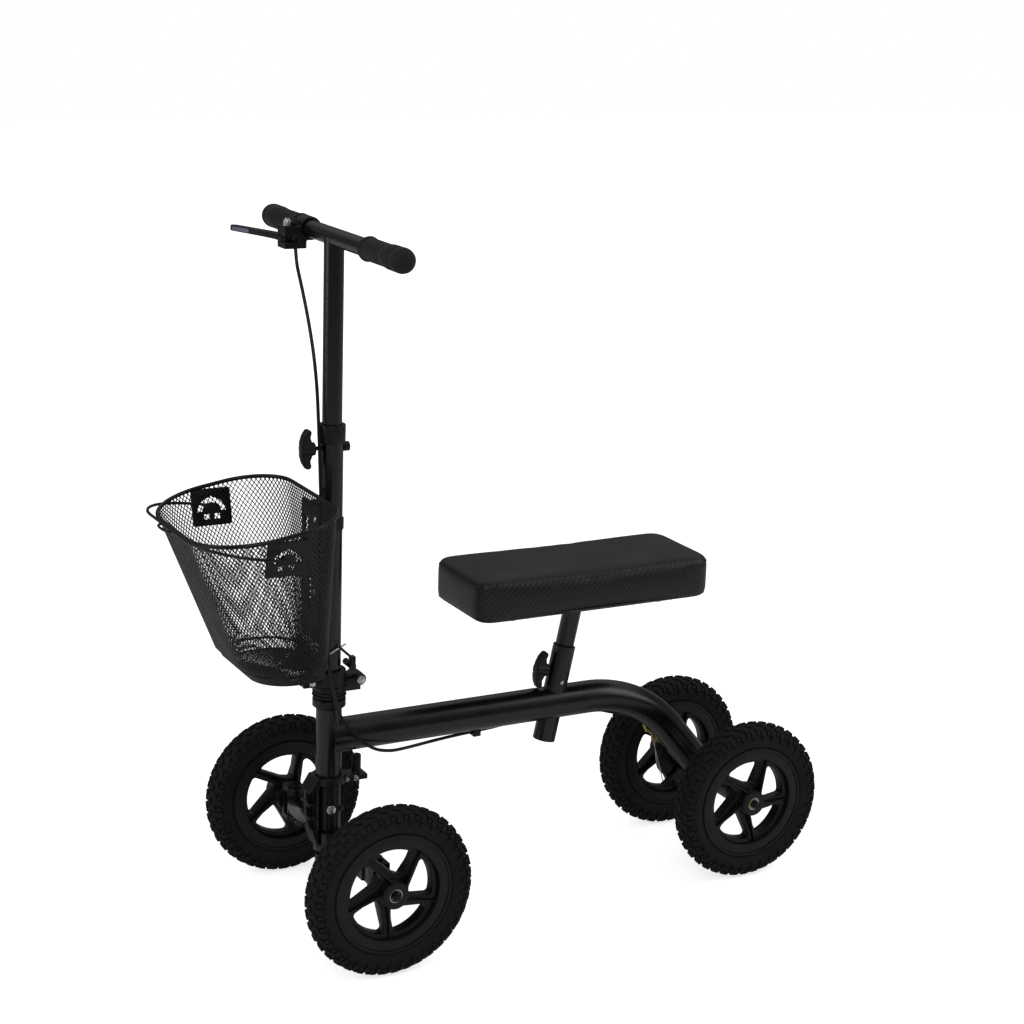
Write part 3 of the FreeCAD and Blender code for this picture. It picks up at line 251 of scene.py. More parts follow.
def make_piece(name, shape, material, body, smooth_angle=32):
    """Turn a bmesh into a named piece that rides on a body."""
    mesh = bpy.data.meshes.new(name)
    shape.to_mesh(mesh)
    shape.free()
    mesh.materials.append(material)
    mesh.shade_smooth()
    mesh.set_sharp_from_angle(angle=math.radians(smooth_angle))
    piece = bpy.data.objects.new(name, mesh)
    scene.collection.objects.link(piece)
    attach(piece, body)
    return piece


def copy_of(node):
    """A merged copy of a CAD node's mesh with its flat faces made whole."""
    shape = bmesh.new()
    shape.from_mesh(frame["nodes"][node].data)
    bmesh.ops.remove_doubles(shape, verts=shape.verts, dist=MERGE_GAP)
    bmesh.ops.dissolve_limit(shape, angle_limit=FLAT_ANGLE, verts=shape.verts, edges=shape.edges)
    return shape


def break_edges(shape, width, segments=2, angle=38):
    """Round the sharp edges of a shape."""
    sharp = [edge for edge in shape.edges
             if edge.is_manifold and edge.calc_face_angle() > math.radians(angle)]
    bmesh.ops.bevel(shape, geom=sharp, offset=width, affect="EDGES", segments=segments, profile=0.5,
                    material=-1, clamp_overlap=True)


def body_of(node):
    """Name of the body that a CAD node rides on."""
    return frame["nodes"][node]["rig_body"]


BROKEN_EDGES = {
    "front_axle_beam": 1.0, "knuckle_left": 0.8, "knuckle_right": 0.8,
    "steering_arm": 0.6, "fold_base": 0.9, "fold_latch": 0.5, "column_collar": 0.8,
    "parking_latch": 0.6, "basket_bracket": 1.2, "brake_drum": 0.8,
    "brake_anchor": 0.4, "brake_arm": 0.4, "cable_clip": 0.4, "headset": 0.7,
    "kingpins": 0.5, "rear_axle": 0.5, "fold_pin": 0.5, "seat_post": 0.5, "steering_post": 0.5,
}
for node, width in BROKEN_EDGES.items():
    shape = copy_of(node)
    break_edges(shape, width * MM)
    slot = SLOT_OF_NODE[node]
    piece = make_piece(node + "_finished", shape, FINISH_OF_SLOT[slot], body_of(node))
    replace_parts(piece, node)


def soften(node, voxel, passes):
    """A casting with generous radii: the CAD shape made of small cells and relaxed."""
    shape = copy_of(node)
    slot = SLOT_OF_NODE[node]
    piece = make_piece(node + "_cast", shape, FINISH_OF_SLOT[slot], body_of(node), smooth_angle=60)
    cells = piece.modifiers.new("cells", "REMESH")
    cells.mode = "VOXEL"
    cells.voxel_size = voxel
    relax = piece.modifiers.new("relax", "SMOOTH")
    relax.factor = 0.5
    relax.iterations = passes
    made = bpy.data.meshes.new_from_object(piece.evaluated_get(bpy.context.evaluated_depsgraph_get()))
    piece.modifiers.clear()
    piece.data = made
    made.materials.clear()
    made.materials.append(FINISH_OF_SLOT[slot])
    made.shade_smooth()
    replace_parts(piece, node)


CASTING_CELL = 1.0 * MM
CASTING_PASSES = 9
for node in ("lever_bracket", "fold_collar", "axle_bracket"):
    soften(node, CASTING_CELL, CASTING_PASSES)


# ------------------------------------------------------------------ tyres
# Ten inch block-tread tyres in black rubber. The carcass is round in section, with smooth
# sidewalls and a fine rib by the bead, and its blocks are staggered and wrap onto the shoulders.

# Tyre rubber: matt, a little grey with dust and bloom.
tyre_rubber = finish("cured_tyre_rubber", "#0c0c0c", "#141413", 0.74, 0.08, 2.2, 0.12, specular=0.25)
dress("tyre_rubber", tyre_rubber)

RIM_RADIUS = 90 * MM
CROWN_CENTRE = 105 * MM
CROWN_ACROSS = 21.6 * MM
CROWN_UP = 19.0 * MM
BEAD_HALF = 14 * MM
BLOCK_HEIGHT = 3.0 * MM
BLOCK_SUNK = 1.2 * MM
BLOCK_EDGE = 0.7 * MM
TURN_PER_LETTER = 0.4
ROUND_STEPS = 120
PITCHES = 38
TREAD = [
    # angle across the crown, offset round in pitches, size round, size across, skew in degrees
    (-13, 0.00, 10.5, 7.5, 22), (13, 0.50, 10.5, 7.5, -22),
    (-37, 0.50, 9.5, 7.0, -14), (37, 0.00, 9.5, 7.0, 14),
    (-62, 0.05, 8.5, 9.5, 0), (62, 0.55, 8.5, 9.5, 0),
    (-60, 0.55, 6.0, 6.0, 0), (60, 0.05, 6.0, 6.0, 0),
    (-84, 0.05, 5.5, 5.0, 0), (84, 0.55, 5.5, 5.0, 0),
]


def crown_point(angle):
    """Point and outward direction on the tyre's crown, at an angle across from its top."""
    across, up = math.sin(angle), math.cos(angle)
    point = Vector((0, CROWN_ACROSS * across, CROWN_CENTRE + CROWN_UP * up))
    outward = Vector((0, across / CROWN_ACROSS, up / CROWN_UP)).normalized()
    return point, outward


def middle_of(node):
    """Middle of a CAD node's box."""
    low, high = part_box(node)
    return (low + high) / 2


def join(shape, part):
    """Add one bmesh to another, and free the part."""
    mesh = bpy.data.meshes.new("part")
    part.to_mesh(mesh)
    part.free()
    shape.from_mesh(mesh)
    bpy.data.meshes.remove(mesh)


def lathe(shape, points, steps, closed=False):
    """Spin an outline of (along the axis, radius) points, with the axis along Y."""
    verts = [shape.verts.new((0, along, radius)) for along, radius in points]
    edges = [shape.edges.new(pair) for pair in zip(verts, verts[1:])]
    if closed:
        edges.append(shape.edges.new((verts[-1], verts[0])))
    bmesh.ops.spin(shape, geom=verts + edges, cent=(0, 0, 0), axis=(0, 1, 0), angle=2 * math.pi, steps=steps,
                   use_merge=True)
    bmesh.ops.remove_doubles(shape, verts=shape.verts, dist=MERGE_GAP)
    bmesh.ops.recalc_face_normals(shape, faces=shape.faces)


def tyre_shape():
    """A tyre round the origin, with its axle along Y."""
    shape = bmesh.new()
    half = [(BEAD_HALF, RIM_RADIUS + 0.3 * MM), (BEAD_HALF + 3.4 * MM, RIM_RADIUS + 0.8 * MM),
            (BEAD_HALF + 3.8 * MM, RIM_RADIUS + 2.2 * MM), (BEAD_HALF + 4.8 * MM, RIM_RADIUS + 2.6 * MM)]
    for degrees in range(104, -1, -8):
        point, _ = crown_point(math.radians(degrees))
        half.append((point.y, point.z))
    outline = half + [(-along, radius) for along, radius in reversed(half[:-1])]
    lathe(shape, outline, ROUND_STEPS, closed=True)

    blocks = bmesh.new()
    for across, offset, size_round, size_across, skew in TREAD:
        point, outward = crown_point(math.radians(across))
        sideways = Vector((1, 0, 0)).cross(outward) * -1
        seat = Matrix((Vector((1, 0, 0)), sideways, outward)).transposed().to_4x4()
        seat.translation = point + outward * (BLOCK_HEIGHT - BLOCK_SUNK) / 2
        scale = Matrix.Diagonal((size_round * MM, size_across * MM, BLOCK_HEIGHT + BLOCK_SUNK, 1))
        for pitch in range(PITCHES):
            around = Matrix.Rotation(2 * math.pi * (pitch + offset) / PITCHES, 4, "Y")
            bmesh.ops.create_cube(blocks, size=1, matrix=around @ seat @ Matrix.Rotation(
                math.radians(skew), 4, "Z") @ scale)
    bmesh.ops.bevel(blocks, geom=blocks.edges[:], offset=BLOCK_EDGE, affect="EDGES", segments=1, profile=0.5,
                    material=-1)
    join(shape, blocks)
    return shape


WHEELS = ("front_left", "front_right", "rear_left", "rear_right")
WHEEL_CENTRES = {}
for wheel in WHEELS:
    WHEEL_CENTRES[wheel] = middle_of("tyre_" + wheel)
    shape = tyre_shape()
    # each tyre stands at its own turn, as it happens to have rolled
    bmesh.ops.rotate(shape, verts=shape.verts, cent=(0, 0, 0),
                     matrix=Matrix.Rotation(TURN_PER_LETTER * len(wheel), 3, "Y"))
    bmesh.ops.translate(shape, verts=shape.verts, vec=WHEEL_CENTRES[wheel])
    piece = make_piece("treaded_tyre_" + wheel, shape, tyre_rubber, wheel + "_wheel")
    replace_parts(piece, "tyre_" + wheel)


# ------------------------------------------------------------------ rims, hubs and bearings
# Five-spoke rims moulded in one piece. Each spoke is a leaning arm with a raised rib down its
# middle that runs out onto the barrel, and the barrel has a bead beside the tyre.

# Glass-filled nylon for the rims: satin, with a spark-eroded mould texture.
rim_nylon = finish("glass_filled_nylon", "#08080a", "#0d0d0f", 0.42, 0.06, 0.9, 0.05)
dress("rim_plastic", rim_nylon)
# Ground bearing steel.
bearing_steel = finish("ground_bearing_steel", "#9d9d9c", "#bcbcba", 0.24, 0.05, 0.6, 0.02, metallic=1.0)
dress("bearing_steel", bearing_steel)

RIM_EDGE = 1.1 * MM
SPOKE_COUNT = 5
SPOKE_LEAN = 24
SPOKE_MIDDLE = 36
RIB_START, RIB_END = 19 * MM, 71.5 * MM
RIB_THICK = 3.0 * MM
WEB_HALF = 9 * MM
RIM_HALF = 18 * MM
WINDOW_PHASE = {"front_left": 20, "front_right": 4, "rear_left": 6, "rear_right": 6}
FIN_REACH = 11 * MM
RIB_PROUD, FIN_PROUD = 3.2 * MM, 0.4 * MM
RIB_ROOT_SCALE = 1.75
RIB_EDGE = 0.7 * MM
HUB_STEPS, SHIELD_STEPS = 48, 40
tan_seal = finish("tan_nitrile_seal", "#8a7f58", "#a09468", 0.5, 0.05, 1.0, 0.02)


def ribs(phase):
    """Tapering ribs down the middle of the spokes, on both faces of the web."""
    shape = bmesh.new()
    for spoke in range(SPOKE_COUNT):
        inner = math.radians(phase + SPOKE_MIDDLE + SPOKE_LEAN + 72 * spoke)
        outer = math.radians(phase + SPOKE_MIDDLE + 72 * spoke)
        start = Vector((math.cos(inner), 0, math.sin(inner))) * RIB_START
        end = Vector((math.cos(outer), 0, math.sin(outer))) * RIB_END
        forward = (end - start).normalized()
        side = forward.cross(Vector((0, 1, 0)))
        web, edge = WEB_HALF + RIB_PROUD, RIM_HALF + FIN_PROUD
        for first, last, first_half, last_half, thick in (
                (start, end, web * RIB_ROOT_SCALE, web, RIB_THICK),
                (end - forward * 5 * MM, end + forward * FIN_REACH, web, edge, 0.6 * RIB_THICK)):
            seat = Matrix((forward, Vector((0, 1, 0)), side)).transposed().to_4x4()
            seat.translation = (first + last) / 2
            scale = Matrix.Diagonal(((last - first).length, 2, thick, 1))
            for vert in bmesh.ops.create_cube(shape, size=1, matrix=seat @ scale)["verts"]:
                near = (vert.co - first).dot(forward) < (last - first).length / 2
                vert.co.y *= first_half if near else last_half
    bmesh.ops.recalc_face_normals(shape, faces=shape.faces)
    bmesh.ops.bevel(shape, geom=shape.edges[:], offset=RIB_EDGE, affect="EDGES", segments=2, profile=0.5,
                    material=-1)
    return shape


for wheel in WHEELS:
    centre = WHEEL_CENTRES[wheel]
    shape = copy_of("rim_" + wheel)
    break_edges(shape, RIM_EDGE)
    rim = make_piece("moulded_rim_" + wheel, shape, rim_nylon, wheel + "_wheel")
    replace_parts(rim, "rim_" + wheel)

    shape = ribs(WINDOW_PHASE[wheel])
    bmesh.ops.translate(shape, verts=shape.verts, vec=centre)
    make_piece("spoke_ribs_" + wheel, shape, rim_nylon, wheel + "_wheel")

    # a bead round each rim edge and a raised ring round each end of the hub
    shape = bmesh.new()
    for side in (-1, 1):
        lathe(shape, [(side * (RIM_HALF - 1 * MM), 85.6 * MM), (side * (RIM_HALF + 1.3 * MM), 86.2 * MM),
                      (side * (RIM_HALF + 1.3 * MM), 89.0 * MM), (side * (RIM_HALF - 1 * MM), 89.6 * MM)],
              ROUND_STEPS, closed=True)
        lathe(shape, [(side * 22.5 * MM, 9.9 * MM), (side * 25.0 * MM, 10.3 * MM),
                      (side * 25.0 * MM, 18.2 * MM), (side * 22.5 * MM, 19.4 * MM)], HUB_STEPS, closed=True)
    bmesh.ops.translate(shape, verts=shape.verts, vec=centre)
    make_piece("rim_beads_" + wheel, shape, rim_nylon, wheel + "_wheel")

    # bearing shields: a rubber lip inside the bright ring, dark in front and tan behind
    shape = bmesh.new()
    for side in (-1, 1):
        lathe(shape, [(side * 23.5 * MM, 6.7 * MM), (side * 24.4 * MM, 6.9 * MM),
                      (side * 24.4 * MM, 8.7 * MM), (side * 23.5 * MM, 8.9 * MM)], SHIELD_STEPS, closed=True)
    bmesh.ops.translate(shape, verts=shape.verts, vec=centre)
    seal = tan_seal if wheel.startswith("rear") else moulded_plastic
    make_piece("bearing_shields_" + wheel, shape, seal, wheel + "_wheel")


# ------------------------------------------------------------------ wire basket
# A D-shaped basket of expanded steel mesh dipped in black, with a wire round its mouth, wires at
# its two lower bends, a plate at each side for the handle and a strip down its back.

# Dip-coated wire mesh.
dipped_wire = finish("dip_coated_wire", "#060608", "#0b0b0d", 0.36, 0.06, 1.4, 0.03)
dress("mesh_black", dipped_wire)
dress("wire_black", dipped_wire)

column_x = middle_of("lower_column").x
BASKET_BACK = column_x + 28 * MM
RIM_TILT = math.radians(9.3)
FLOOR_LEVEL = (54 * MM, 82 * MM, 408 * MM)
SHOULDER_LEVEL = (66 * MM, 100 * MM, 434 * MM)
RIM_LEVEL = (105 * MM, 153 * MM, 646 * MM)
MESH_INSET = 1.5 * MM
STRAND = 1.75 * MM
STRAND_THICK = 0.9 * MM
CELLS_ROUND = 122
CELLS_UP = 25
SHOULDER_ROWS = 4
HOOP_STEPS = 96
BACK_BEND, FRONT_BEND = 0.75, 0.95
SEAM_GAP = 1e-5


def basket_outline(half_depth, half_breadth, share, inset=MESH_INSET):
    """A point of the basket's outline, at a share of the way round from the middle of its back."""
    back, front, side = inset, 2 * half_depth - inset, half_breadth - inset
    back_bend = BACK_BEND * half_depth - inset
    front_bend = FRONT_BEND * half_depth - inset
    runs = [side - back_bend, back_bend * math.pi / 2, front - back - back_bend - front_bend,
            front_bend * math.pi / 2, side - front_bend]
    mirrored = share > 0.5
    travel = (1 - share if mirrored else share) * 2 * sum(runs)
    for index, run in enumerate(runs):
        if travel <= run or index == 4:
            break
        travel -= run
    part = min(travel, run) / run
    bend = part * math.pi / 2
    if index == 0:
        x, y = back, part * (side - back_bend)
    elif index == 1:
        x = back + back_bend * (1 - math.cos(bend))
        y = side - back_bend + back_bend * math.sin(bend)
    elif index == 2:
        x, y = back + back_bend + part * run, side
    elif index == 3:
        x = front - front_bend + front_bend * math.sin(bend)
        y = side - front_bend + front_bend * math.cos(bend)
    else:
        x, y = front, (side - front_bend) * (1 - part)
    return x, -y if mirrored else y


def level_point(level, share, inset=MESH_INSET):
    """A point of the basket at one of its levels. Only the rim is tilted."""
    half_depth, half_breadth, height = level
    x, y = basket_outline(half_depth, half_breadth, share, inset)
    z = height
    if level is RIM_LEVEL:
        ahead = x - half_depth
        x = half_depth + ahead * math.cos(RIM_TILT)
        z = height - ahead * math.sin(RIM_TILT)
    return Vector((BASKET_BACK + x, y, z))


def wall_point(share, up):
    """A point of the wall: from the floor's edge at -1, over the shoulder at 0, to the rim at 1."""
    if up < 0:
        return level_point(FLOOR_LEVEL, share).lerp(level_point(SHOULDER_LEVEL, share), 1 + up)
    return level_point(SHOULDER_LEVEL, share).lerp(level_point(RIM_LEVEL, share), up)


def diamond_lattice(shape):
    """Turn a sheet of quads into a lattice of diamond openings with flat strands."""
    first = shape.edges[:]
    inner = [edge for edge in first if len(edge.link_faces) == 2]
    bmesh.ops.poke(shape, faces=shape.faces[:])
    bmesh.ops.dissolve_edges(shape, edges=[edge for edge in inner if edge.is_valid], use_verts=False)
    openings = shape.faces[:]
    bmesh.ops.inset_individual(shape, faces=openings, thickness=STRAND / 2, depth=0)
    bmesh.ops.delete(shape, geom=openings, context="FACES")


def thicken(piece, thickness, offset=0):
    """Give a sheet its thickness with a live modifier."""
    wall = piece.modifiers.new("thickness", "SOLIDIFY")
    wall.thickness = thickness
    wall.offset = offset


shape = bmesh.new()
rows = CELLS_UP + SHOULDER_ROWS
bmesh.ops.create_grid(shape, x_segments=CELLS_ROUND, y_segments=rows, size=0.5)
for vert in shape.verts:
    share = vert.co.x + 0.5
    step = (vert.co.y + 0.5) * rows
    up = step / SHOULDER_ROWS - 1 if step < SHOULDER_ROWS else (step - SHOULDER_ROWS) / CELLS_UP
    vert.co = wall_point(share, up)
bmesh.ops.remove_doubles(shape, verts=shape.verts, dist=SEAM_GAP)
diamond_lattice(shape)
bmesh.ops.recalc_face_normals(shape, faces=shape.faces)
mesh_wall = make_piece("basket_mesh_wall", shape, dipped_wire, "column")
thicken(mesh_wall, STRAND_THICK)
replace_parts(mesh_wall, "basket")

floor_middle = Vector((BASKET_BACK + FLOOR_LEVEL[0], 0, FLOOR_LEVEL[2]))
FLOOR_CELLS_ALONG, FLOOR_CELLS_ACROSS = 20, 30


def floor_point(u, v):
    """Lay a square, -1 to 1 each way, onto the floor, with its rim on the floor's outline."""
    reach = max(abs(u), abs(v))
    if reach < 1e-6:
        return floor_middle
    u, v = u / reach, v / reach
    if u < -0.9999:
        travel = v % 8
    elif v > 0.9999:
        travel = 2 + u
    elif u > 0.9999:
        travel = 4 - v
    else:
        travel = 6 - u
    return floor_middle.lerp(level_point(FLOOR_LEVEL, travel / 8), reach)


shape = bmesh.new()
bmesh.ops.create_grid(shape, x_segments=FLOOR_CELLS_ALONG, y_segments=FLOOR_CELLS_ACROSS, size=1)
for vert in shape.verts:
    vert.co = floor_point(vert.co.x, vert.co.y)
bmesh.ops.remove_doubles(shape, verts=shape.verts, dist=SEAM_GAP)
diamond_lattice(shape)
bmesh.ops.recalc_face_normals(shape, faces=shape.faces)
thicken(make_piece("basket_mesh_floor", shape, dipped_wire, "column"), STRAND_THICK)


def shape_of(curve):
    """The surface of a curve as a bmesh, with its doubles merged."""
    made = bpy.data.objects.new(curve.name, curve)
    mesh = bpy.data.meshes.new_from_object(made)
    bpy.data.objects.remove(made)
    shape = bmesh.new()
    shape.from_mesh(mesh)
    bpy.data.meshes.remove(mesh)
    bmesh.ops.remove_doubles(shape, verts=shape.verts, dist=MERGE_GAP)
    return shape


def wire(name, points, radius, material, body, closed=False):
    """A round wire through points, as a smooth curve made into a mesh."""
    curve = bpy.data.curves.new(name, "CURVE")
    curve.dimensions = "3D"
    spline = curve.splines.new("NURBS")
    spline.points.add(len(points) - 1)
    for item, point in zip(spline.points, points):
        item.co = (*point, 1)
    spline.order_u = 3
    spline.use_endpoint_u = not closed
    spline.use_cyclic_u = closed
    spline.resolution_u = 4
    curve.bevel_depth = radius
    curve.bevel_resolution = 4
    curve.use_fill_caps = True
    return make_piece(name, shape_of(curve), material, body)


def hoop(level, lift=0.0):
    """Points round the basket at one of its levels."""
    return [level_point(level, step / HOOP_STEPS) + Vector((0, 0, lift)) for step in range(HOOP_STEPS)]


RIM_WIRE, SHOULDER_WIRE, FLOOR_WIRE = 3.0 * MM, 1.8 * MM, 1.7 * MM
SHOULDER_WIRE_UP = -0.4
FLOOR_WIRE_LIFT = 1.2 * MM
shoulder_hoop = [wall_point(step / HOOP_STEPS, SHOULDER_WIRE_UP) for step in range(HOOP_STEPS)]
for name, points, radius in (("basket_rim_wire", hoop(RIM_LEVEL), RIM_WIRE),
                             ("basket_shoulder_wire", shoulder_hoop, SHOULDER_WIRE),
                             ("basket_floor_wire", hoop(FLOOR_LEVEL, lift=FLOOR_WIRE_LIFT), FLOOR_WIRE)):
    wire(name, points, radius, dipped_wire, "column", closed=True)


# ------------------------------------------------------------------ basket strip, plates and handle
# Pressed steel: a strip spot-welded down the back with a rectangular window and a rivet, and two
# side plates with an arched slot and two holes. The handle is one bent wire with a pull in front.

PRESSED_EDGE = 0.2 * MM
CORNER_STEPS = 5


def plate_piece(name, outer, holes, thickness, transform, material, body):
    """A flat plate cut from closed outlines, laid in place by a transform."""
    curve = bpy.data.curves.new(name, "CURVE")
    curve.dimensions = "2D"
    curve.fill_mode = "BOTH"
    curve.extrude = thickness / 2
    curve.bevel_depth = PRESSED_EDGE
    curve.bevel_resolution = 1
    for outline in [outer] + holes:
        spline = curve.splines.new("POLY")
        spline.points.add(len(outline) - 1)
        for item, (x, y) in zip(spline.points, outline):
            item.co = (x * MM, y * MM, 0, 1)
        spline.use_cyclic_u = True
    shape = shape_of(curve)
    bmesh.ops.transform(shape, verts=shape.verts, matrix=transform)
    bmesh.ops.recalc_face_normals(shape, faces=shape.faces)
    return make_piece(name, shape, material, body)


def arc_points(x, y, radius, first, last, count):
    """Points of an arc, between two angles in degrees."""
    angles = [math.radians(first + (last - first) * step / (count - 1)) for step in range(count)]
    return [(x + radius * math.cos(angle), y + radius * math.sin(angle)) for angle in angles]


def rounded_box(width, height, corner, steps=CORNER_STEPS):
    """Outline of a rectangle with rounded corners, about the origin."""
    points = []
    for x, y, first in ((1, 1, 0), (-1, 1, 90), (-1, -1, 180), (1, -1, 270)):
        points += arc_points(x * (width / 2 - corner), y * (height / 2 - corner), corner, first, first + 90,
                             steps)
    return points


ARCH = arc_points(0, -8, 22, 4, 84, 9) + [(0, 17.5)] + arc_points(0, -8, 22, 96, 176, 9) \
    + arc_points(0, -8, 14.5, 172, 8, 15)
PLATE_HOLES = [ARCH] + [[(x + across, y - 14) for x, y in rounded_box(9, 8, 1)] for across in (-8, 8)]
PLATE_WIDE, PLATE_TALL, PLATE_THICK, PLATE_SUNK = 60, 54, 1.6 * MM, 0.2 * MM
plate_middle = middle_of("basket_plates")
WALL_LEAN = math.atan2(RIM_LEVEL[1] - SHOULDER_LEVEL[1], RIM_LEVEL[2] - SHOULDER_LEVEL[2])
for side, label in ((1, "left"), (-1, "right")):
    wall_y = SHOULDER_LEVEL[1] + (plate_middle.z - SHOULDER_LEVEL[2]) * math.tan(WALL_LEAN) - PLATE_SUNK
    middle = Vector((plate_middle.x, side * wall_y, plate_middle.z))
    upward = Vector((0, side * math.sin(WALL_LEAN), math.cos(WALL_LEAN)))
    ahead = Vector((side, 0, 0))
    seat = Matrix((ahead, upward, ahead.cross(upward))).transposed().to_4x4()
    seat.translation = middle
    piece = plate_piece("handle_plate_" + label, rounded_box(PLATE_WIDE, PLATE_TALL, 3), PLATE_HOLES,
                        PLATE_THICK, seat, satin_coat, "column")
    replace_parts(piece, "basket_plates")

STRIP_LOW, STRIP_HIGH = 448 * MM, 650 * MM
STRIP_WIDE, STRIP_THICK, STRIP_AHEAD = 64, 1.4 * MM, 3.0 * MM
strip_seat = Matrix((Vector((0, 1, 0)), Vector((0, 0, 1)), Vector((1, 0, 0)))).transposed().to_4x4()
strip_seat.translation = Vector((BASKET_BACK + STRIP_AHEAD, 0, (STRIP_LOW + STRIP_HIGH) / 2))
strip_window = [(x - 14, y + 62) for x, y in rounded_box(12, 30, 2)]
strip_slot = [(x, y - 30) for x, y in rounded_box(8, 40, 3)]
plate_piece("basket_back_strip", rounded_box(STRIP_WIDE, (STRIP_HIGH - STRIP_LOW) / MM, 4),
            [strip_window, strip_slot], STRIP_THICK, strip_seat, satin_coat, "column")


def dome(shape, place, along, radius, height, steps=20):
    """A low domed head, such as a rivet's, that points along a direction."""
    outline = [(0, radius)] + [(height * math.sin(angle), radius * math.cos(angle))
                               for angle in (0.5, 0.9, 1.25)] + [(height, 0)]
    head = bmesh.new()
    verts = [head.verts.new((0, x, r)) for x, r in outline]
    edges = [head.edges.new(pair) for pair in zip(verts, verts[1:])]
    bmesh.ops.spin(head, geom=verts + edges, cent=(0, 0, 0), axis=(0, 1, 0), angle=2 * math.pi, steps=steps,
                   use_merge=True)
    bmesh.ops.remove_doubles(head, verts=head.verts, dist=MERGE_GAP)
    bmesh.ops.holes_fill(head, edges=[edge for edge in head.edges if edge.is_boundary])
    bmesh.ops.recalc_face_normals(head, faces=head.faces)
    turn = Vector((0, 1, 0)).rotation_difference(Vector(along)).to_matrix().to_4x4()
    bmesh.ops.transform(head, verts=head.verts, matrix=Matrix.Translation(place) @ turn)
    join(shape, head)


shape = bmesh.new()
RIVET_HEIGHTS = (628 * MM, 520 * MM)
for up in RIVET_HEIGHTS:
    dome(shape, Vector((BASKET_BACK + 3.6 * MM, 16 * MM, up)), (1, 0, 0), 4.2 * MM, 2.0 * MM)
make_piece("basket_strip_rivets", shape, zinc_plate, "column")

handle_low, handle_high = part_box("basket_handle")
PULL_HALF, PULL_REACH, PULL_WIRE = 22 * MM, 10 * MM, 2.0 * MM
front_x = handle_high.x - 2.2 * MM
front_z = handle_low.z + (handle_high.z - handle_low.z) * 0.985
half_pull = [(0, PULL_HALF + 8 * MM), (0, PULL_HALF), (0.6 * PULL_REACH, PULL_HALF * 0.9),
             (PULL_REACH, PULL_HALF * 0.45)]
pull = [(x, -y) for x, y in half_pull] + half_pull[::-1]
wire("handle_pull", [(front_x + x, y, front_z - PULL_WIRE) for x, y in pull], PULL_WIRE, dipped_wire,
     "carry_handle")


# ------------------------------------------------------------------ knee pad
# Foam on a board under black vinyl embossed with a carbon weave. The top is joined to the walls by
# a sewn welt that follows its edge, and each corner is a soft round of about 24 mm.

TOW = 2.4 * MM
WEAVE_DEPTH = 0.25 * MM
FACING_SHARE = 0.7


def woven_vinyl():
    """Vinyl embossed with a two-over-two twill of 2.4 mm tows, drawn once on top and once on the walls."""
    material = bpy.data.materials.new("carbon_weave_vinyl")
    material.use_nodes = True
    tree = material.node_tree
    shader = tree.nodes["Principled BSDF"]
    place = add_node(tree, "ShaderNodeTexCoord").outputs["Object"]
    facing = add_node(tree, "ShaderNodeNewGeometry").outputs["Normal"]
    spot = add_node(tree, "ShaderNodeSeparateXYZ", inputs={"Vector": place})
    normal = add_node(tree, "ShaderNodeSeparateXYZ", inputs={"Vector": facing})

    def calculate(operation, first, second=0.0):
        return add_node(tree, "ShaderNodeMath", {"operation": operation}, {0: first, 1: second}).outputs[0]

    def choose(share, low, high):
        return add_node(tree, "ShaderNodeMix", {"data_type": "FLOAT"},
                        {"Factor": share, "A": low, "B": high}).outputs["Result"]

    on_top = calculate("GREATER_THAN", calculate("ABSOLUTE", normal.outputs["Z"]), FACING_SHARE)
    on_end = calculate("GREATER_THAN", calculate("ABSOLUTE", normal.outputs["X"]), FACING_SHARE)
    across = choose(on_end, spot.outputs["X"], spot.outputs["Y"])
    up = choose(on_top, spot.outputs["Z"], spot.outputs["Y"])
    column = calculate("DIVIDE", across, TOW)
    row = calculate("DIVIDE", up, TOW)
    step = calculate("ADD", calculate("FLOOR", column), calculate("FLOOR", row))
    phase = calculate("WRAP", step, 4.0)
    phase.node.inputs[2].default_value = 0.0
    warp = calculate("LESS_THAN", phase, 1.5)
    column_round = calculate("SINE", calculate("MULTIPLY", calculate("FRACT", column), math.pi))
    row_round = calculate("SINE", calculate("MULTIPLY", calculate("FRACT", row), math.pi))
    relief = choose(warp, row_round, column_round)
    bump = add_node(tree, "ShaderNodeBump",
                    inputs={"Strength": 0.55, "Distance": WEAVE_DEPTH, "Height": relief})
    cloud = add_node(tree, "ShaderNodeTexNoise",
                     inputs={"Vector": place, "Scale": 1 / (60 * MM), "Detail": 3.0})
    shade = add_node(tree, "ShaderNodeMix", {"data_type": "RGBA"}, {"Factor": warp})
    shade.inputs["A"].default_value = linear("#060607")
    shade.inputs["B"].default_value = linear("#1b1b1e")
    gloss = add_node(tree, "ShaderNodeMapRange", inputs={
        "Value": cloud.outputs["Fac"], "From Min": CLOUD_LOW, "From Max": CLOUD_HIGH,
        "To Min": 0.34, "To Max": 0.46})
    tree.links.new(shade.outputs["Result"], shader.inputs["Base Color"])
    tree.links.new(gloss.outputs["Result"], shader.inputs["Roughness"])
    tree.links.new(bump.outputs["Normal"], shader.inputs["Normal"])
    shader.inputs["Specular IOR Level"].default_value = 0.35
    return material


vinyl = woven_vinyl()
dress("pad_vinyl", vinyl)
pad_low, pad_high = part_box("seat_pad")
PAD_SHRINK = 3.0 * MM
PAD_CORNER = 24 * MM
PAD_SWELL = 3.2 * MM
PAD_CELL = 4.5 * MM
PAD_PRESSURE = 1.6
PAD_RISE = 4 * MM
PAD_EDGE = 9 * MM
CLOTH_FRAMES = 20
RELAX_PASSES = 8
pad_middle = (pad_low + pad_high) / 2
pad_size = pad_high - pad_low

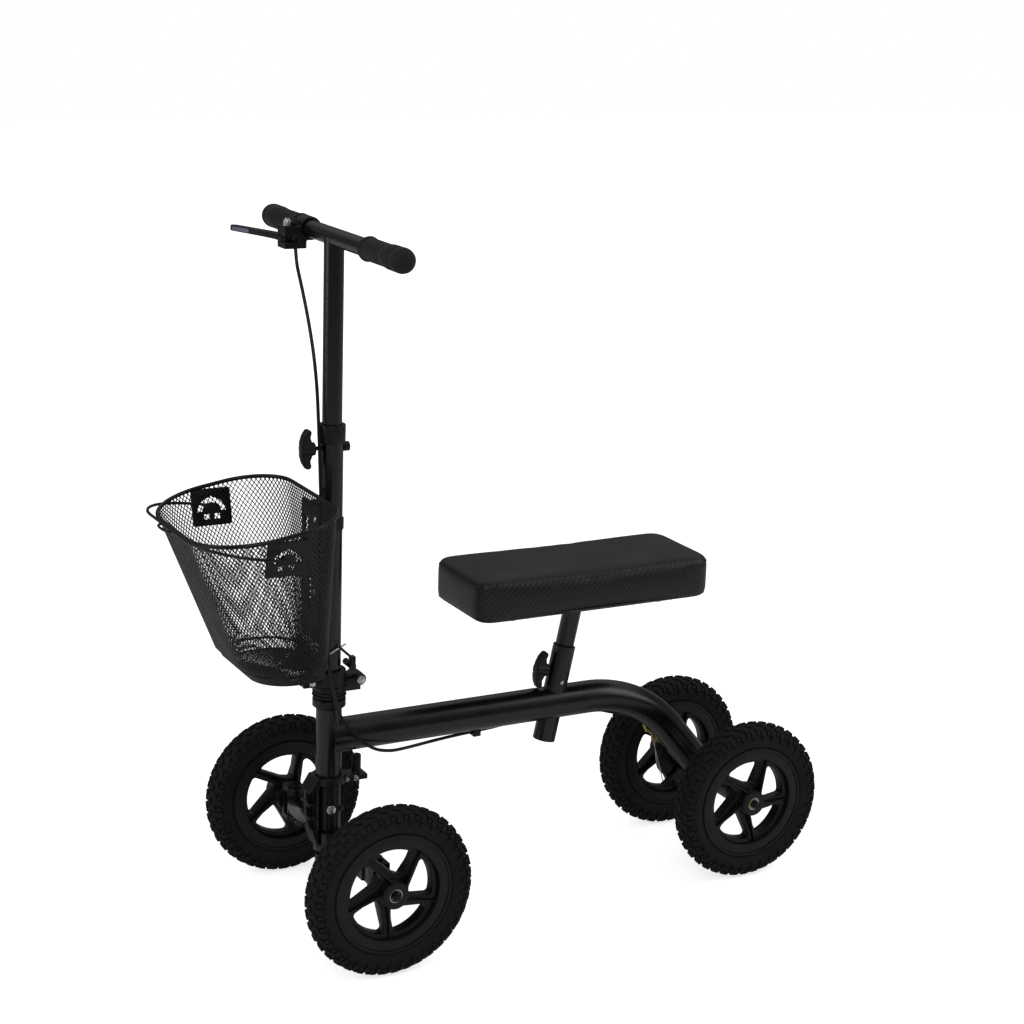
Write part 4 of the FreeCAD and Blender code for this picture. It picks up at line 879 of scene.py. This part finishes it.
shape = bmesh.new()
bmesh.ops.create_cube(shape, size=1, matrix=Matrix.Translation(pad_middle) @ Matrix.Diagonal(
    (pad_size.x - 2 * PAD_SHRINK, pad_size.y - 2 * PAD_SHRINK, pad_size.z - PAD_SHRINK, 1)))
uprights = [edge for edge in shape.edges
            if abs((edge.verts[0].co - edge.verts[1].co).normalized().z) > 0.9]
bmesh.ops.bevel(shape, geom=uprights, offset=PAD_CORNER, affect="EDGES", segments=8, profile=0.5,
                material=-1)
break_edges(shape, PAD_EDGE, segments=5, angle=60)
pad = make_piece("vinyl_knee_pad", shape, vinyl, "seat", smooth_angle=60)


def swell(piece, voxel, pressure, cap):
    """Blow a cushion up a little under its cover, and keep the result in its mesh."""
    remesh = piece.modifiers.new("remesh", "REMESH")
    remesh.mode = "VOXEL"
    remesh.voxel_size = voxel
    depsgraph = bpy.context.evaluated_depsgraph_get()
    fine = bpy.data.meshes.new_from_object(piece.evaluated_get(depsgraph))
    piece.modifiers.clear()
    piece.data = fine
    rest = [vert.co.copy() for vert in fine.vertices]
    cloth = piece.modifiers.new("cloth", "CLOTH")
    cloth.settings.use_pressure = True
    cloth.settings.uniform_pressure_force = pressure
    cloth.settings.effector_weights.gravity = 0
    cloth.settings.tension_stiffness = cloth.settings.compression_stiffness = 60
    cloth.settings.shear_stiffness = 30
    cloth.settings.bending_stiffness = 12
    cloth.point_cache.frame_end = CLOTH_FRAMES
    for step in range(1, CLOTH_FRAMES + 1):
        scene.frame_set(step)
    depsgraph = bpy.context.evaluated_depsgraph_get()
    blown = bpy.data.meshes.new_from_object(piece.evaluated_get(depsgraph))
    piece.modifiers.clear()
    for vert, start, moved in zip(fine.vertices, rest, blown.vertices):
        move = moved.co - start
        if move.length > cap:
            move *= cap / move.length
        vert.co = start + move
    bpy.data.meshes.remove(blown)
    scene.frame_set(1)
    relaxed = bmesh.new()
    relaxed.from_mesh(fine)
    for step in range(RELAX_PASSES):
        bmesh.ops.smooth_vert(relaxed, verts=relaxed.verts, factor=0.5, use_axis_x=True, use_axis_y=True,
                              use_axis_z=True)
    relaxed.to_mesh(fine)
    relaxed.free()


def keep_inside(piece, low, high):
    """Flatten a cushion where it would pass its own envelope, as where it sits on its board."""
    for vert in piece.data.vertices:
        vert.co = [min(max(value, least), most) for value, least, most in zip(vert.co, low, high)]


swell(pad, PAD_CELL, PAD_PRESSURE, PAD_SWELL)
keep_inside(pad, pad_low, pad_high + Vector((0, 0, PAD_RISE)))
pad.data.materials.clear()
pad.data.materials.append(vinyl)
pad.data.shade_smooth()
soft = pad.modifiers.new("soft", "SUBSURF")
soft.levels = soft.render_levels = 1
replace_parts(pad, "seat_pad")

# the seam: a folded welt that follows the top edge, and one round the foot where the cover is stapled
WELT_RADIUS, WELT_PROUD = 0.9 * MM, 0.1 * MM
for label, height, inset in (("top", pad_high.z - PAD_EDGE, 0.2 * MM),
                             ("foot", pad_low.z + 5 * MM, 1.2 * MM)):
    points = []
    for x, y in rounded_box(pad_size.x - 2 * inset, pad_size.y - 2 * inset, PAD_CORNER, steps=7):
        _, point, outward, _ = pad.closest_point_on_mesh((pad_middle.x + x, pad_middle.y + y, height))
        points.append(point + outward * WELT_PROUD)
    wire("pad_welt_" + label, points, WELT_RADIUS, vinyl, "seat", closed=True)


# ------------------------------------------------------------------ grips
# Moulded rubber grips with shallow finger rings, a flange at the inner end and a domed, flared
# outer end with small vent holes round its crown, drawn as darker plastic domes: painted shade of the holes,
# which are not cut.

# Soft thermoplastic rubber of the grips.
grip_rubber = finish("soft_grip_rubber", "#0c0c0d", "#131314", 0.66, 0.06, 0.9, 0.08, sheen=0.03)
dress("grip_rubber", grip_rubber)
FINGER_RINGS = 6
VENTS, VENT_REACH = 5, 9.5 * MM


def grip(label, side):
    """A grip along Y, closed by its dome."""
    low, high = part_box("grip_" + label)
    middle = middle_of("grip_" + label)
    inner = low.y if side > 0 else high.y
    length = high.y - low.y
    outline = [(0, 12.8), (0, 17.0), (2, 17.6), (4, 17.0), (5, 15.9)]
    for ring in range(FINGER_RINGS):
        start = 9 + ring * 10
        outline += [(start, 16.0), (start + 1.2, 15.3), (start + 3.2, 15.3), (start + 4.4, 16.0)]
    outline += [(70, 16.2), (73, 16.9), (76, 17.2), (99, 17.4), (99.8, 16.8), (100.6, 16.8), (101.4, 17.5),
                (108, 17.4), (112.5, 16.4), (115.8, 13.8), (117.8, 9.8), (118.7, 5.0), (118.9, 0.0)]
    shape = bmesh.new()
    scale = length / outline[-1][0]
    lathe(shape, [(along * scale, radius * MM) for along, radius in outline], 48)
    if side < 0:
        bmesh.ops.scale(shape, verts=shape.verts, vec=(1, -1, 1))
    bmesh.ops.translate(shape, verts=shape.verts, vec=(middle.x, inner, middle.z))
    bmesh.ops.recalc_face_normals(shape, faces=shape.faces)
    piece = make_piece("rubber_grip_" + label, shape, grip_rubber, "bar", smooth_angle=50)
    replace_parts(piece, "grip_" + label)

    # the vents are darker plastic domes: painted shade where the vent holes would be
    vents = bmesh.new()
    for turn in range(VENTS):
        angle = math.radians(72 * turn + 20)
        spot = Vector((middle.x + VENT_REACH * math.cos(angle), inner + side * (length - 0.35 * MM),
                       middle.z + VENT_REACH * math.sin(angle)))
        dome(vents, spot - Vector((0, side * 0.3 * MM, 0)), (0, side, 0), 1.5 * MM, 0.5 * MM, steps=12)
    make_piece("grip_vent_painted_shade_" + label, vents, moulded_plastic, "bar")


grip("left", 1)
grip("right", -1)


# ------------------------------------------------------------------ brake lever and its adjuster
# A moulded lever with a pale inlay along its blade, and a knurled alloy barrel adjuster that
# stands up from the bracket.

shape = copy_of("brake_lever")
LEVER_EDGE = 1.6 * MM
break_edges(shape, LEVER_EDGE, segments=3)
lever = make_piece("brake_lever_blade", shape, moulded_plastic, "lever")
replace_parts(lever, "brake_lever")

JOINTS = {item["name"]: (Vector(item.get("pos_m", (0, 0, 0))), Vector(item["axis"]).normalized())
          for item in frame["record"]["behaviour"]["joints"]}
inlay_finish = finish("grey_inlay", "#5d5b6b", "#767486", 0.4, 0.06, 1.0, 0.03)
pivot = JOINTS["brake_lever_squeeze"][0]
inlay_ends = [Vector((pivot.x + x * MM, pivot.y + y * MM, middle_of("brake_lever").z))
              for x, y in ((26.4, -74), (38.4, -110))]
along = (inlay_ends[1] - inlay_ends[0]).normalized()
seat = Matrix((along, Vector((0, 0, 1)), along.cross(Vector((0, 0, 1))))).transposed().to_4x4()
seat.translation = (inlay_ends[0] + inlay_ends[1]) / 2
plate_piece("lever_inlay", rounded_box(36, 5.4, 1.6), [], 0.9 * MM, seat, inlay_finish, "lever")

KNURLS = 20
KNURL = (0.9 * MM, 6.6 * MM, 0.9 * MM, 1)
CAP_TALL = 11.5
adjuster_middle = middle_of("barrel_adjuster")
shape = bmesh.new()
thread = [(-14.5, 0), (-14.5, 3.4)]
for ring in range(9):
    thread += [(-14 + ring * 1.5, 3.9), (-13.3 + ring * 1.5, 3.3)]
thread += [(0, 3.9), (0.6, 5.0), (1.0, 5.4), (8.4, 5.4), (9.2, 5.0), (9.2, 3.4), (CAP_TALL, 3.2),
           (CAP_TALL, 0)]
cap_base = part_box("barrel_adjuster")[1].z - CAP_TALL * MM
lathe(shape, [(along * MM, radius * MM) for along, radius in thread], 40)
for turn in range(KNURLS):
    angle = 2 * math.pi * turn / KNURLS
    seat = Matrix.Rotation(angle, 4, "Y") @ Matrix.Translation((0, 4.7 * MM, 5.3 * MM))
    bmesh.ops.create_cube(shape, size=1, matrix=seat @ Matrix.Diagonal(KNURL))
stand = Matrix.Translation((adjuster_middle.x, adjuster_middle.y, cap_base)) @ Matrix.Rotation(
    math.radians(90), 4, "X")
bmesh.ops.transform(shape, verts=shape.verts, matrix=stand)
bmesh.ops.recalc_face_normals(shape, faces=shape.faces)
piece = make_piece("knurled_adjuster", shape, zinc_plate, "adjuster")
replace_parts(piece, "barrel_adjuster")


# ------------------------------------------------------------------ clamping knobs
# Moulded knobs with two swept wings, on steel studs: one on the column and one on the seat sleeve.

KNOB_DEPTH = 22
KNOB_THICK = 13 * MM
KNOB_HUB, KNOB_STUD = (9.5, 1, 20.5), (3, -11, 2)  # radius, start and end along the axis
WING = [(0, -8), (5, -9), (8, -17), (6, -25), (9, -29), (14, -28), (19, -20), (22, -10)]


def wing_knob(name, node, body, joint):
    """A knob on its stud, with two wings swept outward, along the joint's axis."""
    centre, axis = JOINTS[joint]
    if axis.x < 0:
        axis = -axis
    across = axis.cross(Vector((0, 1, 0)))
    far = max(vert.co.dot(axis) for vert in frame["nodes"][node].data.vertices)
    base = centre + axis * (far - centre.dot(axis) - KNOB_DEPTH * MM)
    base.y = centre.y
    shape = bmesh.new()
    outline = WING + [(along, -reach) for along, reach in reversed(WING)]
    verts = [shape.verts.new(base + axis * along * MM + across * reach * MM - Vector((0, KNOB_THICK / 2, 0)))
             for along, reach in outline]
    face = shape.faces.new(verts)
    raised = bmesh.ops.extrude_face_region(shape, geom=[face])["geom"]
    bmesh.ops.translate(shape, verts=[item for item in raised if isinstance(item, bmesh.types.BMVert)],
                        vec=(0, KNOB_THICK, 0))
    bmesh.ops.recalc_face_normals(shape, faces=shape.faces)
    break_edges(shape, 2.0 * MM, segments=3, angle=50)
    turn = Vector((0, 0, 1)).rotation_difference(axis).to_matrix().to_4x4()
    for radius, start, end in (KNOB_HUB, KNOB_STUD):
        middle = base + axis * (start + end) / 2 * MM
        bmesh.ops.create_cone(shape, cap_ends=True, segments=28, radius1=radius * MM, radius2=radius * MM,
                              depth=(end - start) * MM, matrix=Matrix.Translation(middle) @ turn)
    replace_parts(make_piece(name, shape, moulded_plastic, body), node)


wing_knob("column_wing_knob", "column_knob", "height_knob", "height_knob_turn")
wing_knob("seat_wing_knob", "seat_knob", "saddle_knob", "seat_knob_turn")


# ------------------------------------------------------------------ bolts, nuts and washers
# Zinc-plated hexagon heads with a chamfer, each on its own washer.

WASHER_SCALE, WASHER_THICK = 1.25, 1.2 * MM


def hexagon(shape, place, along, across_flats, height):
    """A hexagon head with a chamfered top, standing on a washer, that points along a direction."""
    head = bmesh.new()
    radius = across_flats / 2 / math.cos(math.pi / 6)
    washer = radius * WASHER_SCALE
    bmesh.ops.create_cone(head, cap_ends=True, segments=28, radius1=washer, radius2=washer,
                          depth=WASHER_THICK, matrix=Matrix.Translation((0, 0, WASHER_THICK / 2)))
    bmesh.ops.create_cone(head, cap_ends=True, segments=6, radius1=radius, radius2=radius, depth=height,
                          matrix=Matrix.Translation((0, 0, WASHER_THICK + height / 2)))
    break_edges(head, 0.5 * MM, segments=2)
    bmesh.ops.create_cone(head, cap_ends=True, segments=20, radius1=radius * 0.55, radius2=radius * 0.5,
                          depth=1.6 * MM, matrix=Matrix.Translation((0, 0, WASHER_THICK + height + 0.6 * MM)))
    turn = Vector((0, 0, 1)).rotation_difference(Vector(along)).to_matrix().to_4x4()
    bmesh.ops.transform(head, verts=head.verts, matrix=Matrix.Translation(place) @ turn)
    join(shape, head)


def bolts(name, body, spots, material=zinc_plate):
    """A set of like bolts in one piece: (place, direction, size across flats, height)."""
    shape = bmesh.new()
    for place, along, across_flats, height in spots:
        hexagon(shape, Vector(place), along, across_flats * MM, height * MM)
    return make_piece(name, shape, material, body)


NUT_SUNK = 3.5 * MM
post_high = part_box("steering_post")[1]
for wheel, side in (("front_left", 1), ("front_right", -1)):
    centre = WHEEL_CENTRES[wheel]
    low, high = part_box("knuckle_" + wheel[6:])
    tip = high.y if side > 0 else low.y
    bolts("axle_nut_" + wheel, wheel[6:] + "_knuckle",
          [((centre.x, tip - side * NUT_SUNK, centre.z), (0, side, 0), 9, 4)], satin_coat)
low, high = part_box("rear_axle")
rear = WHEEL_CENTRES["rear_left"]
bolts("rear_axle_nuts", "frame", [((rear.x, high.y - NUT_SUNK, rear.z), (0, 1, 0), 9, 4),
                                  ((rear.x, low.y + NUT_SUNK, rear.z), (0, -1, 0), 9, 4)],
      satin_coat)
shape = bmesh.new()
dome(shape, Vector((column_x + 2 * MM, post_high.y - 1.8 * MM, 181 * MM)), (0.1, 1, 0), 7.6 * MM, 3.4 * MM,
     steps=32)
make_piece("steering_post_rivet", shape, zinc_plate, "steering")
bolts("steering_post_bolt", "steering", [
    ((column_x - 13.5 * MM, post_high.y - 6.5 * MM, 180 * MM), (-0.6, 0.8, 0), 7, 3),
], satin_coat)
PLATE_FACE = 12.6 * MM
bolts("lower_plate_bolts", "frame", [
    ((column_x - 24 * MM, PLATE_FACE, 224 * MM), (0, 1, 0), 6, 2.4),
    ((column_x - 38 * MM, PLATE_FACE, 224 * MM), (0, 1, 0), 7, 3),
])
pin_middle = middle_of("fold_pin")
bolts("fold_pin_heads", "steering",
      [((pin_middle.x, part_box("fold_pin")[1].y - 0.8 * MM, pin_middle.z), (0, 1, 0), 9, 3)])
CLAMP_HEIGHT = 381 * MM
low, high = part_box("column_bolts")
bolts("fold_clamp_bolts", "column", [
    ((high.x - 6.5 * MM, high.y - 2 * MM, CLAMP_HEIGHT), (0, 1, 0), 9, 3),
    ((high.x - 6.5 * MM, low.y + 2 * MM, CLAMP_HEIGHT), (0, -1, 0), 9, 3),
])


# ------------------------------------------------------------------ small turned and pressed details
# Dark discs stand for the height holes up the front of the upper column: painted shade where the open holes
# would show the tube's dark inside. With them come the stacked rings of the headset, the plated pin of the
# fold's catch and a rivet low on the seat's sleeve.

HOLE_COUNT, HOLE_PITCH, HOLE_START = 8, 25.4 * MM, 790 * MM
HOLE_TURN = math.radians(16)
HOLE_RADIUS = 3.5 * MM
HOLE_THICK, HOLE_PROUD = 0.3 * MM, 0.08 * MM
column_low, column_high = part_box("upper_column")
column_middle = middle_of("upper_column")
column_radius = (column_high.y - column_low.y) / 2
shape = bmesh.new()
for step in range(HOLE_COUNT):
    disc = bmesh.ops.create_cone(shape, cap_ends=True, segments=24, radius1=HOLE_RADIUS, radius2=HOLE_RADIUS,
                                 depth=HOLE_THICK)["verts"]
    for vert in disc:
        angle = HOLE_TURN + vert.co.x / column_radius
        reach = column_radius + HOLE_PROUD + (vert.co.z - HOLE_THICK / 2)
        height = HOLE_START + HOLE_PITCH * step + vert.co.y
        vert.co = Vector((column_middle.x + reach * math.cos(angle),
                          column_middle.y + reach * math.sin(angle), height))
bmesh.ops.recalc_face_normals(shape, faces=shape.faces)
# dark discs standing just proud of the column: painted shade of holes that are not cut
make_piece("height_hole_painted_shade", shape, moulded_plastic, "bar")

head_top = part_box("head_tube")[1].z
RINGS = [("headset_lower_rings", "frame", ((-3.5, 20.6, 2.2),)),
         ("headset_upper_rings", "steering", ((16.5, 25.3, 2.0), (22, 24.8, 1.6)))]
for name, body, stack in RINGS:
    shape = bmesh.new()
    for up, radius, height in stack:
        lathe(shape, [(up * MM, (radius - 4) * MM), (up * MM, (radius - 0.5) * MM),
                      ((up + 0.4) * MM, radius * MM), ((up + height - 0.4) * MM, radius * MM),
                      ((up + height) * MM, (radius - 0.5) * MM), ((up + height) * MM, (radius - 4) * MM)],
              64, closed=True)
    bmesh.ops.transform(shape, verts=shape.verts, matrix=Matrix.Translation((column_x, 0, head_top))
                        @ Matrix.Rotation(math.radians(90), 4, "X"))
    make_piece(name, shape, satin_coat, body)

catch = JOINTS["fold_latch_turn"][0]
wire("fold_catch_pin", [catch + Vector((along, 20, up)) * MM for along, up in ((36, 24), (24, 30), (11, 36))],
     1.3 * MM, zinc_plate, "column")

slide = JOINTS["seat_height"][1]
SLEEVE_RIVET_DOWN = 58 * MM
sleeve_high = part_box("seat_sleeve")[1]
sleeve_middle = middle_of("seat_sleeve")
spot_height = sleeve_high.z - SLEEVE_RIVET_DOWN
shape = bmesh.new()
dome(shape, Vector((sleeve_middle.x + (spot_height - sleeve_middle.z) * slide.x / slide.z,
                    sleeve_high.y - 0.3 * MM, spot_height)), (0, 1, 0), 3.2 * MM, 1.5 * MM)
make_piece("seat_sleeve_rivet", shape, zinc_plate, "frame")


# ------------------------------------------------------------------ brake cable and its clamp
# The cable's black polymer housing carries on from the CAD. At the brake it ends in yellow-plated
# clamp nuts, and a bare inner wire runs on to the brake arm, with a short cut tail.

# Extruded polymer of the cable housing: smooth and fairly shiny.
cable_jacket = finish("extruded_cable_jacket", "#060607", "#0c0c0d", 0.3, 0.05, 2.0, 0.02)
dress("cable_housing", cable_jacket)

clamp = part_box("brake_anchor")[1]
arm_low, arm_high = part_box("brake_arm")
HOUSING_WAY = (0.78, 0, 0.62)
shape = bmesh.new()
for place, along, radius, length in (
        ((clamp.x - 2 * MM, -71 * MM, clamp.z - 2 * MM), HOUSING_WAY, 4.6, 13),
        ((clamp.x - 12 * MM, -71 * MM, clamp.z - 12 * MM), HOUSING_WAY, 5.6, 4),
        ((clamp.x - 29 * MM, -71.5 * MM, clamp.z - 38 * MM), (0, 1, 0), 5.2, 10),
        ((clamp.x - 29 * MM, -66 * MM, clamp.z - 38 * MM), (0, 1, 0), 3.4, 9)):
    turn = Vector((0, 0, 1)).rotation_difference(Vector(along)).to_matrix().to_4x4()
    bmesh.ops.create_cone(shape, cap_ends=True, segments=6 if radius > 5 else 20, radius1=radius * MM,
                          radius2=radius * MM, depth=length * MM, matrix=Matrix.Translation(place) @ turn)
break_edges(shape, 0.5 * MM)
make_piece("brake_clamp_nuts", shape, yellow_zinc, "frame")
wire("brake_wire_tail", [(clamp.x - 29 * MM, -71.5 * MM, clamp.z - 40 * MM),
                         (clamp.x - 31 * MM, -72 * MM, clamp.z - 62 * MM),
                         (clamp.x - 38 * MM, -73 * MM, clamp.z - 92 * MM)],
     0.7 * MM, zinc_plate, "frame")
wire("brake_inner_wire", [(clamp.x - 20 * MM, -71 * MM, clamp.z - 24 * MM),
                          (clamp.x - 28 * MM, -71.5 * MM, clamp.z - 45 * MM),
                          (arm_high.x - 4 * MM, -72 * MM, arm_low.z + 6 * MM)],
     0.8 * MM, zinc_plate, "frame")
